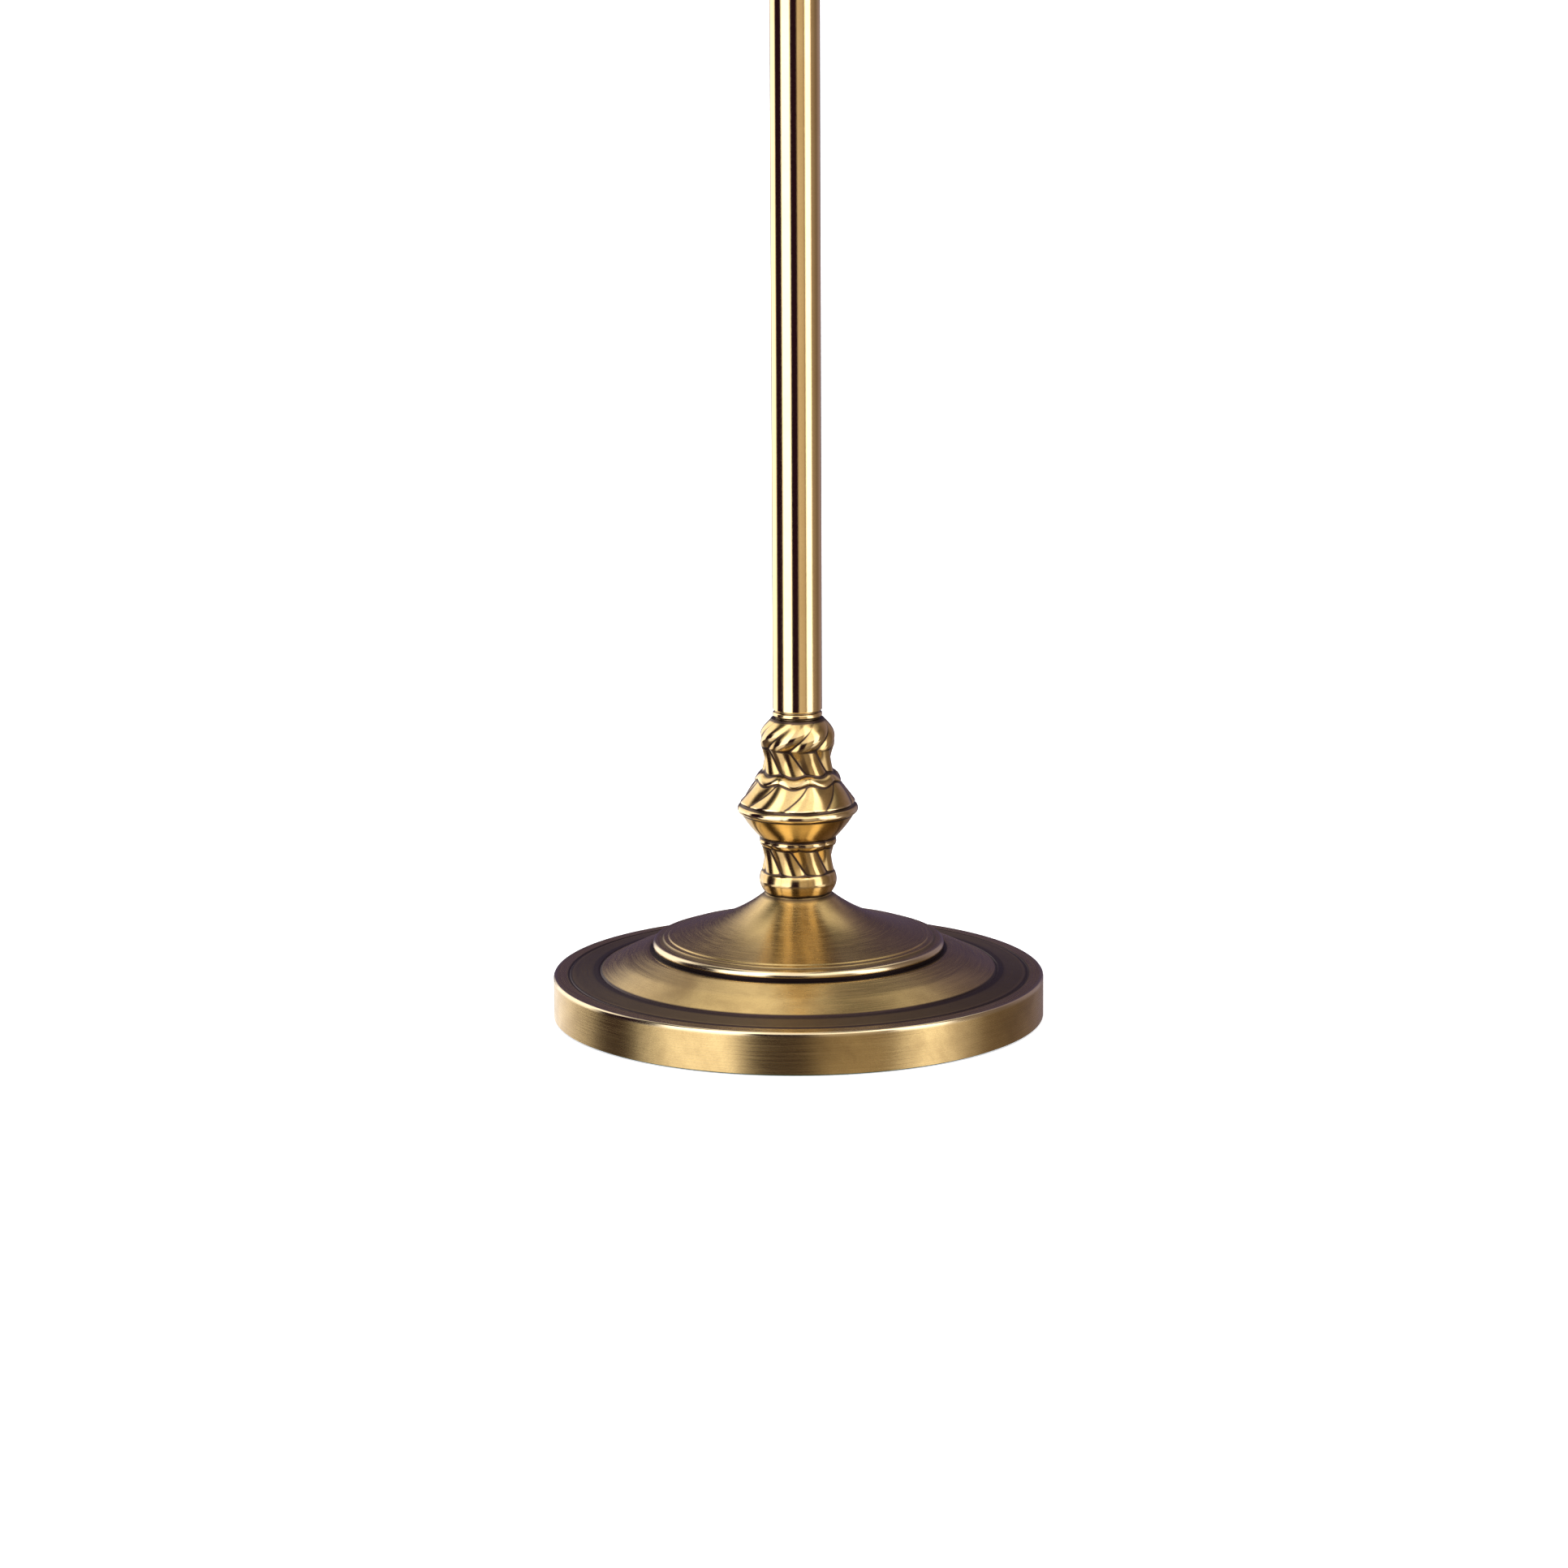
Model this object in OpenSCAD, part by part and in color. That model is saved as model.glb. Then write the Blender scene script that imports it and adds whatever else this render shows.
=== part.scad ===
// Pharmacy floor lamp: stepped round base, twisted cast spindle, telescopic column and a tilting arm
// with a half-round shade. Origin on the floor under the column's axis, +Z up, arm towards +X.

/* [Base] */
// Diameter of the base
base_d = 254; // [220:1:320]
// Height of the rim's top edge above the floor
rim_h = 22.5; // [20:0.5:28]
// Radial width of the flat ring outside the second tier
rim_w = 24; // [16:0.5:30]
// Radial width of the sloped second tier
tier_w = 25.5; // [18:0.5:32]
// Rise of the second tier
tier_h = 10.5; // [6:0.5:16]
// Height of the base cover's top above the floor
base_h = 65.5; // [58:0.5:90]
// Diameter of the cover's flat top, under the spindle
crown_d = 35; // [30:0.5:44]
// Sheet thickness of the base cover
cover_t = 1.2; // [0.8:0.1:2]
// Thickness of the felt
felt_t = 2; // [1:0.5:4]
// Thickness of the iron weight's plate
weight_h = 15; // [10:1:16]
// Bore of the cord bush
cord_bore_d = 7; // [6:0.5:8]

/* [Spindle] */
// Height of the spindle
spindle_h = 91.5; // [70:0.5:130]
// Largest diameter of the spindle
knop_d = 62; // [50:0.5:80]
// Diameter of the spindle at its necks
spindle_neck_d = 36; // [32:0.5:44]
// Number of lobes round the spindle
lobes = 8; // [6:1:12]
// Depth of the valleys between the lobes
lobe_depth = 1.5; // [0:0.1:2]
// Angle through which the lobes swing on a neck
lobe_swing = 31; // [0:1:36]
// Height of the ring between spindle and column
seat_h = 4.5; // [3:0.5:8]
// Diameter of the hollow threaded rod
rod_d = 10; // [9:0.5:12]
// Bore of the hollow threaded rod
rod_bore_d = 6.6; // [6:0.2:7]

/* [Column] */
// Diameter of the fixed tube
tube_d = 25.4; // [22:0.1:32]
// Wall of the fixed tube
tube_t = 1.2; // [0.8:0.1:2]
// Length of the fixed tube
tube_len = 620; // [450:5:800]
// Diameter of the sliding mast
mast_d = 19; // [16:0.1:19.4]
// Wall of the sliding mast
mast_t = 1; // [0.8:0.1:1.5]
// Length of the sliding mast
mast_len = 670; // [500:5:900]
// Distance from the mast's lowest position to its stored one
mast_raise = 240; // [20:5:260]
// Length of the upper plastic guide
guide_len = 36; // [30:1:60]
// Length of the guide on the mast's foot
piston_len = 30; // [20:1:50]

/* [Clamp] */
// Wall of the clamp's collar, round the fixed tube
collar_wall = 3.8; // [3:0.2:8]
// Diameter of the clamp's screw
clamp_screw_d = 5; // [4:0.5:6]
// Diameter of the clamp's knob
clamp_knob_d = 22; // [16:0.5:30]

/* [Head] */
// Width of the swivel's ledge outside the fork
ledge_w = 1.1; // [1:0.1:4]
// Height of the tilt axis above the swivel's moving face
tilt_rise = 38; // [36:0.5:50]
// Thickness of each ear of the fork
ear_t = 4.6; // [3:0.1:6]
// Diameter of the tilt bolt
tilt_bolt_d = 6; // [5:0.5:8]
// Diameter of the tilt knob
tilt_knob_d = 20; // [16:0.5:28]
// Diameter of the arm's tube
arm_d = 12.7; // [12:0.1:14]
// Wall of the arm's tube
arm_t = 1; // [0.8:0.1:1.5]
// Distance from the tilt axis to the end of the arm's tube
arm_len = 190; // [120:1:300]

/* [Shade] */
// Length of the shade
shade_len = 200; // [190:1:300]
// Width of the shade
shade_d = 110; // [96:1:150]
// Depth of the shade's straight sides below its axis
shade_drop = 26; // [24:1:40]
// Sheet thickness of the shade
shade_t = 1; // [0.8:0.1:1.5]
// Diameter of the bead round the shade's lower edge
bead_d = 3.2; // [2.4:0.2:5]
// Diameter of the bulb
bulb_d = 44; // [32:1:46]
// Length of the bulb's glass
bulb_len = 92; // [60:1:110]

/* [Fits] */
// Radial clearance of parts that turn or slide in each other
run_fit = 0.05; // [0.02:0.01:0.1]
// Radial clearance of parts that are fixed in each other
seat_fit = 0.03; // [0.01:0.01:0.1]
// Air between parts that pass each other
air = 0.4; // [0.3:0.1:1]

/* [Hidden] */
$fn = 96;

BRASS = "#a8823f";
BRIGHT = "#d8b974";
STEEL = "#a9abb0";
IRON = "#3a3a3c";
NYLON = "#e8e4d8";
BLACK = "#1d1c1c";

// base
cover_lift = 1;
cover_r = base_d / 2;
tier_r = cover_r - rim_w;
crown_r = crown_d / 2;
torus_r = tier_r - tier_w - 4.5;
tier_foot = rim_h + 2.6;
tier_top = tier_foot + tier_h;
torus_z = tier_top + 2.6;
torus_round = 2.4;
step_z = torus_z + 3.6;
trumpet_r = torus_r - 5.5;
cover_inner_r = cover_r - cover_t;
weight_r = cover_inner_r - 7;
hub_r = 24;
hub_top = felt_t + weight_h + 4;
pocket_r = 15.5;
pocket_h = 16;
washer_t = 2;
nut_h = 5;
washer_z = felt_t + pocket_h - washer_t;
nut_z = washer_z - nut_h;
rod_foot = nut_z - 1.5;
cord_z = rim_h / 2;
cord_bore_r = cord_bore_d / 2;
bush_r = cord_bore_r + 2;
bush_flange_r = bush_r + 1.8;
bush_in = 6;
bush_out = 2;
flex_r = 2.3;
rod_r = rod_d / 2;
spacer_r = rod_r + 4;

// spindle and column
spindle_top = base_h + spindle_h;
tube_foot = spindle_top + seat_h;
tube_top = tube_foot + tube_len;
tube_r = tube_d / 2;
tube_ir = tube_r - tube_t;
plug_h = 22;
rod_top = tube_foot + plug_h + 2;
mast_r = mast_d / 2;
mast_ir = mast_r - mast_t;
mast_low = rod_top + 3;
mast_foot = mast_low + mast_raise;
mast_top = mast_foot + mast_len;

// clamp
collar_r = tube_r + collar_wall;
collar_foot = tube_top - 26;
collar_lip = 5;
collar_top = tube_top + collar_lip;
screw_r = clamp_screw_d / 2;
screw_z = tube_top - 13;
boss_out = collar_r + 8;
pad_t = tube_ir - mast_r - 0.6;
knob_gap = 0.8;
clamp_knob_r = clamp_knob_d / 2;
clamp_knob_l = 15;

// head
swivel_z = mast_top + 13;
swivel_face = swivel_z + air;
stud_r = 4.9;
stud_bore_r = 3;
stud_in = 9;
floor_t = 9;
well_r = 8.4;
well_z = swivel_face + floor_t;
tilt_z = swivel_face + tilt_rise;
shoulder_z = well_z + 6;
eye_r = 9;
eye_half = 5.2;
pivot_washer_t = 0.9;
ear_in = eye_half + pivot_washer_t + 0.2;
ear_out = ear_in + ear_t;
swivel_r = ear_out + ledge_w;
bolt_r = tilt_bolt_d / 2;
tilt_knob_r = tilt_knob_d / 2;
tilt_knob_l = 13;
pin_r = 1;
pin_ring_r = 8.5;
arm_r = arm_d / 2;
arm_ir = arm_r - arm_t;
arm_root = 22;

// shade, socket and bulb, measured along the arm from the tilt axis
end_body_l = 14;
end_x = arm_len + end_body_l;
fibre_t = 1.2;
face_gap = 0.1;
plate_x = end_x + fibre_t + face_gap;
lock_x = plate_x + shade_t + face_gap + fibre_t;
lock_h = 4;
cap_x = lock_x + lock_h;
cap_l = 17;
shell_x = cap_x + cap_l - 2;
shell_l = 44;
socket_end = shell_x + shell_l;
core_x = shell_x + 2;
core_l = 17;
thread_x = core_x + core_l;
bulb_x = thread_x + 4;
nipple_r = 5;
socket_r = 19;
liner_r = socket_r - 0.9;
core_r = liner_r - 1.1;
thread_r = 14;
bulb_cap_r = 13.1;
switch_x = core_x + core_l / 2;
switch_r = 2;
key_drop = 32;
shade_r = shade_d / 2;
shade_end = plate_x + shade_len;
flange_w = 9;
flange_t = 0.8;
rivet_in = 6;
rivet_r = 1.2;

// outline helpers
// Points of an arc round [cx, cz] from angle a0 to a1
function arc(cx, cz, r, a0, a1, n = 6) = [
    for (i = [0:n]) let (a = a0 + (a1 - a0) * i / n) [cx + r * cos(a), cz + r * sin(a)]
];
// Points of a hollow curve from p to q that leaves p flat and arrives at q steep
function trumpet(p, q, sag, n = 9) = [
    for (i = [0:n]) let (t = i / n)
        [p.x + (q.x - p.x) * t, p.y + (q.y - p.y) * (t + sag * (t * t * t - t))]
];

// The shade's cross-section: a half circle of the given radius with straight sides below it
module arch(r, drop) {
    intersection() {
        circle(r = r);
        translate([-2 * r, -2 * r]) square([2 * r, 4 * r]);
    }
    translate([0, -r]) square([drop, 2 * r]);
}
// A tube with its foot at height z
module tube(z, h, r_out, r_in) {
    translate([0, 0, z]) difference() {
        cylinder(h = h, r = r_out);
        translate([0, 0, -1]) cylinder(h = h + 2, r = r_in);
    }
}
// Moves a piece drawn along +Z onto the arm's axis, x from the tilt axis
module on_arm(x) {
    translate([x, 0, tilt_z]) rotate([0, 90, 0]) children();
}
// Moves a piece drawn along +Z onto the clamp's axis, with +Z outwards
module on_clamp(x) {
    translate([-x, 0, screw_z]) rotate([0, -90, 0]) children();
}
// Moves a piece drawn along +Z onto the tilt axis, with +Z towards the knob
module on_tilt(y) {
    translate([0, y, tilt_z]) rotate([-90, 0, 0]) children();
}
// A turned knob with finger grooves and a domed face, bored for its screw
module knob(r, l, bore_r) {
    grooves = 16;
    difference() {
        rotate_extrude() polygon(concat(
            [[0, 0], [r * 0.55, 0], [r * 0.55, 2], [r - 0.8, 2], [r, 2.8], [r, l - 3]],
            arc(r - 2, l - 3, 2, 0, 80),
            [[0, l]]));
        for (i = [0:grooves - 1]) rotate(i * 360 / grooves)
            translate([r + 0.7, 0, 1]) cylinder(h = l - 3, r = 1.5, $fn = 24);
        translate([0, 0, -1]) cylinder(h = l - 3, r = bore_r);
    }
}
// A hexagon nut with its foot at z = 0
module hex_nut(af, h, bore_r) {
    difference() {
        cylinder(h = h, d = af / cos(30), $fn = 6);
        translate([0, 0, -1]) cylinder(h = h + 2, r = bore_r);
    }
}

// base
module base_cover() {
    slope = trumpet([trumpet_r - 0.6, step_z + 1], [crown_r, base_h - 0.7], 0.42);
    outside = concat(
        [[cover_r, cover_lift], [cover_r, rim_h - 1.2]],
        arc(cover_r - 1.2, rim_h - 1.2, 1.2, 20, 80, 3),
        [[cover_r - 7.6, rim_h + 0.3], [cover_r - 8.2, rim_h - 0.1], [cover_r - 8.8, rim_h + 0.4]],
        [[tier_r + 0.6, tier_foot - 0.3], [tier_r, tier_foot - 0.9], [tier_r - 0.8, tier_foot]],
        [[tier_r - tier_w * 0.5, tier_foot + tier_h * 0.56], [tier_r - tier_w + 1, tier_top]],
        [[torus_r + 1.6, tier_top - 0.4]],
        arc(torus_r, torus_z, torus_round, -40, 100, 8),
        [[trumpet_r + 2.8, step_z - 0.7], [trumpet_r + 2.2, step_z], [trumpet_r, step_z + 0.4]],
        slope,
        [[crown_r - 0.6, base_h]]);
    inside = concat(
        [[rod_r + seat_fit, base_h], [rod_r + seat_fit, base_h - cover_t], [spacer_r + 1, base_h - cover_t]],
        [for (i = [len(slope) - 1:-1:0]) slope[i] - [0.6, 1.1] * cover_t],
        [[torus_r - cover_t, torus_z - 1], [torus_r - cover_t, tier_top - cover_t - 0.8]],
        [[tier_r - tier_w, tier_top - cover_t - 0.8], [tier_r - 1, tier_foot - cover_t - 1]],
        [[cover_inner_r - 0.6, rim_h - cover_t], [cover_inner_r, rim_h - cover_t - 0.8]],
        [[cover_inner_r, cover_lift]]);
    color(BRASS) difference() {
        rotate_extrude() polygon(concat(outside, inside));
        translate([0, cover_r + 2, cord_z]) rotate([90, 0, 0])
            cylinder(h = 10, r = bush_r + seat_fit);
    }
}
module base_weight() {
    color(IRON) difference() {
        union() {
            tube(felt_t, weight_h, weight_r, rod_r + seat_fit);
            tube(felt_t, hub_top - felt_t, hub_r, rod_r + seat_fit);
        }
        translate([0, 0, felt_t - 1]) cylinder(h = pocket_h + 1, r = pocket_r);
        translate([-5, 0, felt_t - 1]) cube([10, weight_r + 1, cord_z + flex_r + 2 - felt_t + 1]);
    }
}
module base_felt() {
    color("#2c4a34") cylinder(h = felt_t, r = cover_inner_r - 1);
}
module base_spacer() {
    color(STEEL) tube(hub_top, base_h - cover_t - hub_top, spacer_r, rod_r + seat_fit);
}
module base_washer() {
    color(STEEL) tube(washer_z, washer_t, pocket_r - 1.5, rod_r + seat_fit);
}
module base_nut() {
    color(STEEL) translate([0, 0, nut_z]) hex_nut(17, nut_h, rod_r + seat_fit);
}
module centre_rod() {
    color(STEEL) tube(rod_foot, rod_top - rod_foot, rod_r, rod_bore_d / 2);
}
module cord_bush() {
    color(BLACK) translate([0, cover_r + bush_out, cord_z]) rotate([90, 0, 0]) difference() {
        rotate_extrude() polygon([
            [0, 0], [bush_flange_r - 0.6, 0], [bush_flange_r, 0.6], [bush_flange_r, bush_out],
            [bush_r, bush_out], [bush_r, bush_out + bush_in], [0, bush_out + bush_in]]);
        translate([0, 0, -1]) cylinder(h = bush_out + bush_in + 2, r = cord_bore_r);
    }
}
module base_flex() {
    route = [
        [weight_r - 1, cord_z], [weight_r - 16, cord_z - 1], [weight_r * 0.6, 5.8], [16, 5],
        [9, 5], [5, 5.4], [2, 7], [0.5, 9.6], [0, 13], [0, rod_top + 1]
    ];
    sides = 12;
    last = len(route) - 1;
    rings = [for (i = [0:last])
        let (a = route[max(i - 1, 0)], b = route[min(i + 1, last)], d = (b - a) / norm(b - a))
        for (k = [0:sides - 1]) let (t = 360 * k / sides)
            [flex_r * cos(t), route[i].x - flex_r * sin(t) * d.y, route[i].y + flex_r * sin(t) * d.x]];
    walls = [for (i = [0:last - 1]) for (k = [0:sides - 1]) let (n = (k + 1) % sides)
        [i * sides + k, i * sides + n, (i + 1) * sides + n, (i + 1) * sides + k]];
    ends = [[for (k = [sides - 1:-1:0]) k], [for (k = [0:sides - 1]) last * sides + k]];
    color("#c9b68a") polyhedron(points = rings, faces = concat(walls, ends));
}

// spindle: each stretch has its share of the height, its first and last radius and its bulge, all as
// shares of the step from neck to knop, then its share of the lobes' depth, the part of the swing at
// its foot and at its head, and its number of rings
STRETCHES = [
    [11.0, -0.05, 0.09, 0.13, 0.25, 1, 1, 5],
    [14.3, 0.06, 0.07, -0.06, 1.00, 1, 0, 6],
    [4.4, 0.12, 0.13, 0.06, 0.60, 0.5, 0.5, 4],
    [12.4, 0.15, 0.88, 0.05, 0.00, 0.5, 0, 5],
    [4.2, 0.96, 0.95, 0.06, 0.20, 0, 0, 4],
    [1.4, 0.87, 0.87, -0.02, 0.30, 0, 0, 2],
    [11.7, 0.92, 0.28, 0.00, 0.80, 0, 1, 6],
    [4.0, 0.34, 0.12, 0.05, 0.50, 1, 1, 4],
    [13.5, 0.05, 0.06, -0.07, 1.00, 1, 0, 6],
    [14.6, 0.07, -0.34, 0.22, 1.00, 0, 1.7, 10]
];
module spindle() {
    around = lobes * 8;
    neck = spindle_neck_d / 2;
    step = knop_d / 2 - neck;
    total = sum_of([for (s = STRETCHES) s[0]]);
    first_lobe = 23.5 - lobe_swing / 2;
    levels = [for (j = [0:len(STRETCHES) - 1])
        let (s = STRETCHES[j], below = j == 0 ? 0 : sum_of([for (m = [0:j - 1]) STRETCHES[m][0]]))
        for (i = [0:s[7]]) let (t = (i == 0 && j > 0 ? 0.04 : i / s[7]))
            [base_h + spindle_h * (below + s[0] * t) / total,
             neck + step * (s[1] + (s[2] - s[1]) * t + s[3] * sin(180 * t)),
             lobe_depth * s[4] * (j == len(STRETCHES) - 1 ? 1 - t * t : 1),
             first_lobe + lobe_swing * (s[5] + (s[6] - s[5]) * t)]];
    points = [for (v = levels) for (k = [0:around - 1])
        let (a = 360 * k / around, r = v[1] - v[2] * (1 - abs(cos(lobes / 2 * (a - v[3])))))
            [r * cos(a), r * sin(a), v[0]]];
    top = len(levels) - 1;
    walls = [for (i = [0:top - 1]) for (k = [0:around - 1]) let (n = (k + 1) % around)
        [i * around + k, (i + 1) * around + k, (i + 1) * around + n, i * around + n]];
    ends = [[for (k = [0:around - 1]) k], [for (k = [around - 1:-1:0]) top * around + k]];
    color(BRASS) difference() {
        polyhedron(points = points, faces = concat(walls, ends));
        translate([0, 0, base_h - 1]) cylinder(h = spindle_h + 2, r = rod_r + 0.2);
    }
}
function sum_of(v, i = 0) = i < len(v) ? v[i] + sum_of(v, i + 1) : 0;
module seat_ring() {
    color(BRIGHT) translate([0, 0, spindle_top]) rotate_extrude() polygon(concat(
        [[rod_r + seat_fit, 0], [tube_r - 1.2, 0], [tube_r - 1.2, seat_h * 0.22]],
        [[tube_r - 0.3, seat_h * 0.28], [tube_r, seat_h * 0.36], [tube_r, seat_h * 0.66]],
        [[tube_r - 0.3, seat_h * 0.74], [tube_r - 1, seat_h * 0.8]],
        [[tube_r - 1, seat_h], [rod_r + seat_fit, seat_h]]));
}

// column
module outer_tube() {
    color(BRIGHT) difference() {
        tube(tube_foot, tube_len, tube_r, tube_ir);
        on_clamp(mast_r) cylinder(h = tube_r, r = screw_r + 0.4);
    }
}
module tube_plug() {
    color(STEEL) tube(tube_foot, plug_h, tube_ir - seat_fit, rod_r + seat_fit);
}
module guide_upper() {
    color(NYLON) difference() {
        tube(tube_top - guide_len, guide_len, tube_ir - seat_fit, mast_r + run_fit);
        on_clamp(mast_r - 1) cylinder(h = tube_r, r = screw_r + 0.4);
    }
}
module clamp_collar() {
    color(BRASS) difference() {
        union() {
            rotate_extrude() polygon(concat(
                [[tube_r + seat_fit, collar_foot], [tube_r + 1.4, collar_foot]],
                [[tube_r + 1.8, collar_foot + 2], [collar_r - 1.6, collar_foot + 5]],
                arc(collar_r - 1.5, collar_foot + 6.6, 1.5, -80, 0, 4),
                arc(collar_r - 1.5, tube_top - 1.5, 1.5, 0, 80, 4),
                [[collar_r - 3, tube_top + 0.8]],
                arc(collar_r - 5.4, tube_top + 2.2, 2.4, -20, 85, 5),
                [[mast_r + air, collar_top], [mast_r + air, tube_top + seat_fit]],
                [[tube_r + seat_fit, tube_top + seat_fit]]));
            on_clamp(tube_r + 1) cylinder(h = boss_out - tube_r - 1, r = screw_r + 3.5);
        }
        on_clamp(mast_r) cylinder(h = boss_out, r = screw_r + run_fit);
    }
}
module clamp_pad() {
    color(BRIGHT) on_clamp(mast_r + 0.3) cylinder(h = pad_t, r = screw_r - run_fit);
}
module clamp_screw() {
    color(STEEL) on_clamp(mast_r + 0.3 + pad_t + 0.1)
        cylinder(h = boss_out + knob_gap + 8 - mast_r - pad_t - 0.4, r = screw_r);
}
module clamp_knob() {
    color(BRASS) on_clamp(boss_out + knob_gap) knob(clamp_knob_r, clamp_knob_l, screw_r + seat_fit);
}

// mast
module inner_tube() {
    color(BRIGHT) difference() {
        tube(mast_foot, mast_len, mast_r, mast_ir);
        for (a = [90, 270]) rotate(a) translate([0, 0, mast_foot + piston_len / 2])
            rotate([0, 90, 0]) cylinder(h = mast_r + 2, r = 1.5);
    }
}
module guide_lower() {
    color(NYLON) difference() {
        tube(mast_foot, piston_len, tube_ir - run_fit, mast_r + seat_fit);
        for (a = [90, 270]) rotate(a) translate([0, 0, mast_foot + piston_len / 2])
            rotate([0, 90, 0]) cylinder(h = tube_r, r = 1.5);
    }
}
module guide_rivets() {
    color(STEEL) for (a = [90, 270]) rotate(a)
        translate([mast_ir - 1.2, 0, mast_foot + piston_len / 2]) rotate([0, 90, 0])
            cylinder(h = tube_ir - mast_ir + 0.8, r = 1.5 - seat_fit);
}
module mast_flex() {
    color("#c9b68a") translate([0, 0, mast_foot + 2])
        cylinder(h = well_z + 6 - mast_foot, r = flex_r);
}
module swivel_base() {
    spigot = 20;
    color(BRASS) difference() {
        rotate_extrude() polygon(concat(
            [[stud_bore_r, mast_top - spigot], [mast_ir - seat_fit, mast_top - spigot]],
            [[mast_ir - seat_fit, mast_top], [mast_r + 1, mast_top]],
            arc(mast_r + 0.2, mast_top + 2, 2, -60, 60, 5),
            [[mast_r - 0.2, mast_top + 4.6], [mast_r, mast_top + 6]],
            arc(swivel_r - 2, swivel_z - 3.5, 2, -60, 0, 4),
            [[swivel_r, swivel_z - 0.8], [swivel_r - 0.8, swivel_z], [stud_bore_r, swivel_z]]));
        translate([0, 0, swivel_z - stud_in]) cylinder(h = stud_in + 1, r = stud_r + seat_fit);
        translate([0, pin_ring_r, swivel_z - 4]) cylinder(h = 5, r = pin_r + seat_fit);
    }
}
module swivel_stud() {
    color(STEEL) tube(swivel_z - stud_in, stud_in + air + floor_t + 5.5, stud_r, stud_bore_r);
}
module swivel_washer() {
    color(STEEL) tube(well_z + 0.1, 1, well_r - 0.5, stud_r + seat_fit);
}
module swivel_nut() {
    color(STEEL) translate([0, 0, well_z + 1.1]) hex_nut(13, 4, stud_r + seat_fit);
}
module stop_pin() {
    color(STEEL) translate([0, pin_ring_r, swivel_z - 4]) cylinder(h = 5.5, r = pin_r);
}

// head
module swivel_head() {
    stop_arc = 350;
    color(BRASS) difference() {
        union() {
            translate([0, 0, swivel_face]) rotate_extrude() polygon(concat(
                [[0, 0], [swivel_r - 0.8, 0], [swivel_r, 0.8]],
                arc(swivel_r - 1.6, 3.4, 1.6, 0, 80, 4),
                [[ear_out + 0.2, 6.4], [ear_out + 0.2, shoulder_z - swivel_face],
                 [0, shoulder_z - swivel_face]]));
            for (s = [-1, 1]) {
                on_tilt(s < 0 ? -ear_out : ear_in) cylinder(h = ear_t, r = eye_r);
                translate([-eye_r, s < 0 ? -ear_out : ear_in, shoulder_z - 8])
                    cube([eye_r * 2, ear_t, tilt_z - shoulder_z + 8]);
            }
        }
        translate([0, 0, swivel_face - 1]) cylinder(h = floor_t + 2, r = stud_r + run_fit);
        translate([0, 0, well_z]) cylinder(h = shoulder_z - well_z + 1, r = well_r);
        on_tilt(-ear_out - 1) cylinder(h = ear_out * 2 + 2, r = bolt_r + seat_fit);
        rotate([0, 0, 90 - stop_arc / 2]) translate([0, 0, swivel_face - 1])
            rotate_extrude(angle = stop_arc) translate([pin_ring_r - pin_r - air, 0])
                square([2 * (pin_r + air), 3]);
    }
}
module tilt_bolt() {
    color(STEEL) union() {
        on_tilt(-ear_out - 0.5) cylinder(h = ear_out * 2 + 0.5 + tilt_knob_l - 4, r = bolt_r);
        on_tilt(-ear_out - 3.5) rotate_extrude() polygon(concat(
            [[0, 0]], arc(bolt_r, 3, 3, -80, 0, 5), [[bolt_r + 3, 3.5], [0, 3.5]]));
    }
}
module tilt_knob() {
    color(BRASS) on_tilt(ear_out + air) knob(tilt_knob_r, tilt_knob_l, bolt_r + run_fit);
}

// arm
module arm_knuckle() {
    color(BRASS) difference() {
        union() {
            on_tilt(-eye_half) cylinder(h = 2 * eye_half, r = eye_r - 0.5);
            on_arm(0) cylinder(h = arm_root - 2, r = eye_half - 0.2);
            on_arm(arm_root - 3) rotate_extrude() polygon(concat(
                [[0, 0], [arm_r - 0.4, 0]],
                arc(arm_r - 0.4, 1.5, 1.5, -60, 60, 4), [[arm_r - 0.4, 3], [0, 3]]));
            on_arm(arm_root - 1) cylinder(h = 15, r = arm_ir - seat_fit);
        }
        on_tilt(-eye_half - 1) cylinder(h = 2 * eye_half + 2, r = bolt_r + run_fit);
        on_arm(eye_r - 3) cylinder(h = arm_root + 20, r = 2.8);
        translate([eye_r - 2.8, 0, tilt_z]) rotate([180, 0, 0]) cylinder(h = eye_r, r = 2.6);
    }
}
module tilt_washers() {
    color(STEEL) for (s = [-1, 1]) on_tilt(s < 0 ? -eye_half - pivot_washer_t : eye_half)
        difference() {
            cylinder(h = pivot_washer_t, r = eye_r - 1);
            translate([0, 0, -1]) cylinder(h = pivot_washer_t + 2, r = bolt_r + run_fit);
        }
}
module arm_tube() {
    color(BRIGHT) on_arm(arm_root) tube(0, arm_len - arm_root, arm_r, arm_ir);
}
module arm_end() {
    color(BRASS) on_arm(arm_len) difference() {
        union() {
            translate([0, 0, -12]) cylinder(h = 13, r = arm_ir - seat_fit);
            rotate_extrude() polygon(concat(
                [[0, 0], [arm_r + 0.3, 0]],
                arc(arm_r + 0.3, 1.8, 1.8, -60, 60, 5),
                [[arm_r - 0.2, 4.2], [arm_r + 0.3, 6], [arm_r + 2.4, 9.5], [arm_r + 4.4, 11.5]],
                [[arm_r + 4.4, end_body_l - 0.5], [arm_r + 3.9, end_body_l], [0, end_body_l]]));
        }
        translate([0, 0, -13]) cylinder(h = 15, r = 3.4);
        translate([0, 0, 1]) cylinder(h = end_body_l, r = nipple_r + seat_fit);
    }
}
module arm_flex() {
    color("#c9b68a") on_arm(arm_root - 8) cylinder(h = core_x - arm_root + 6, r = flex_r);
}

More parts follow.
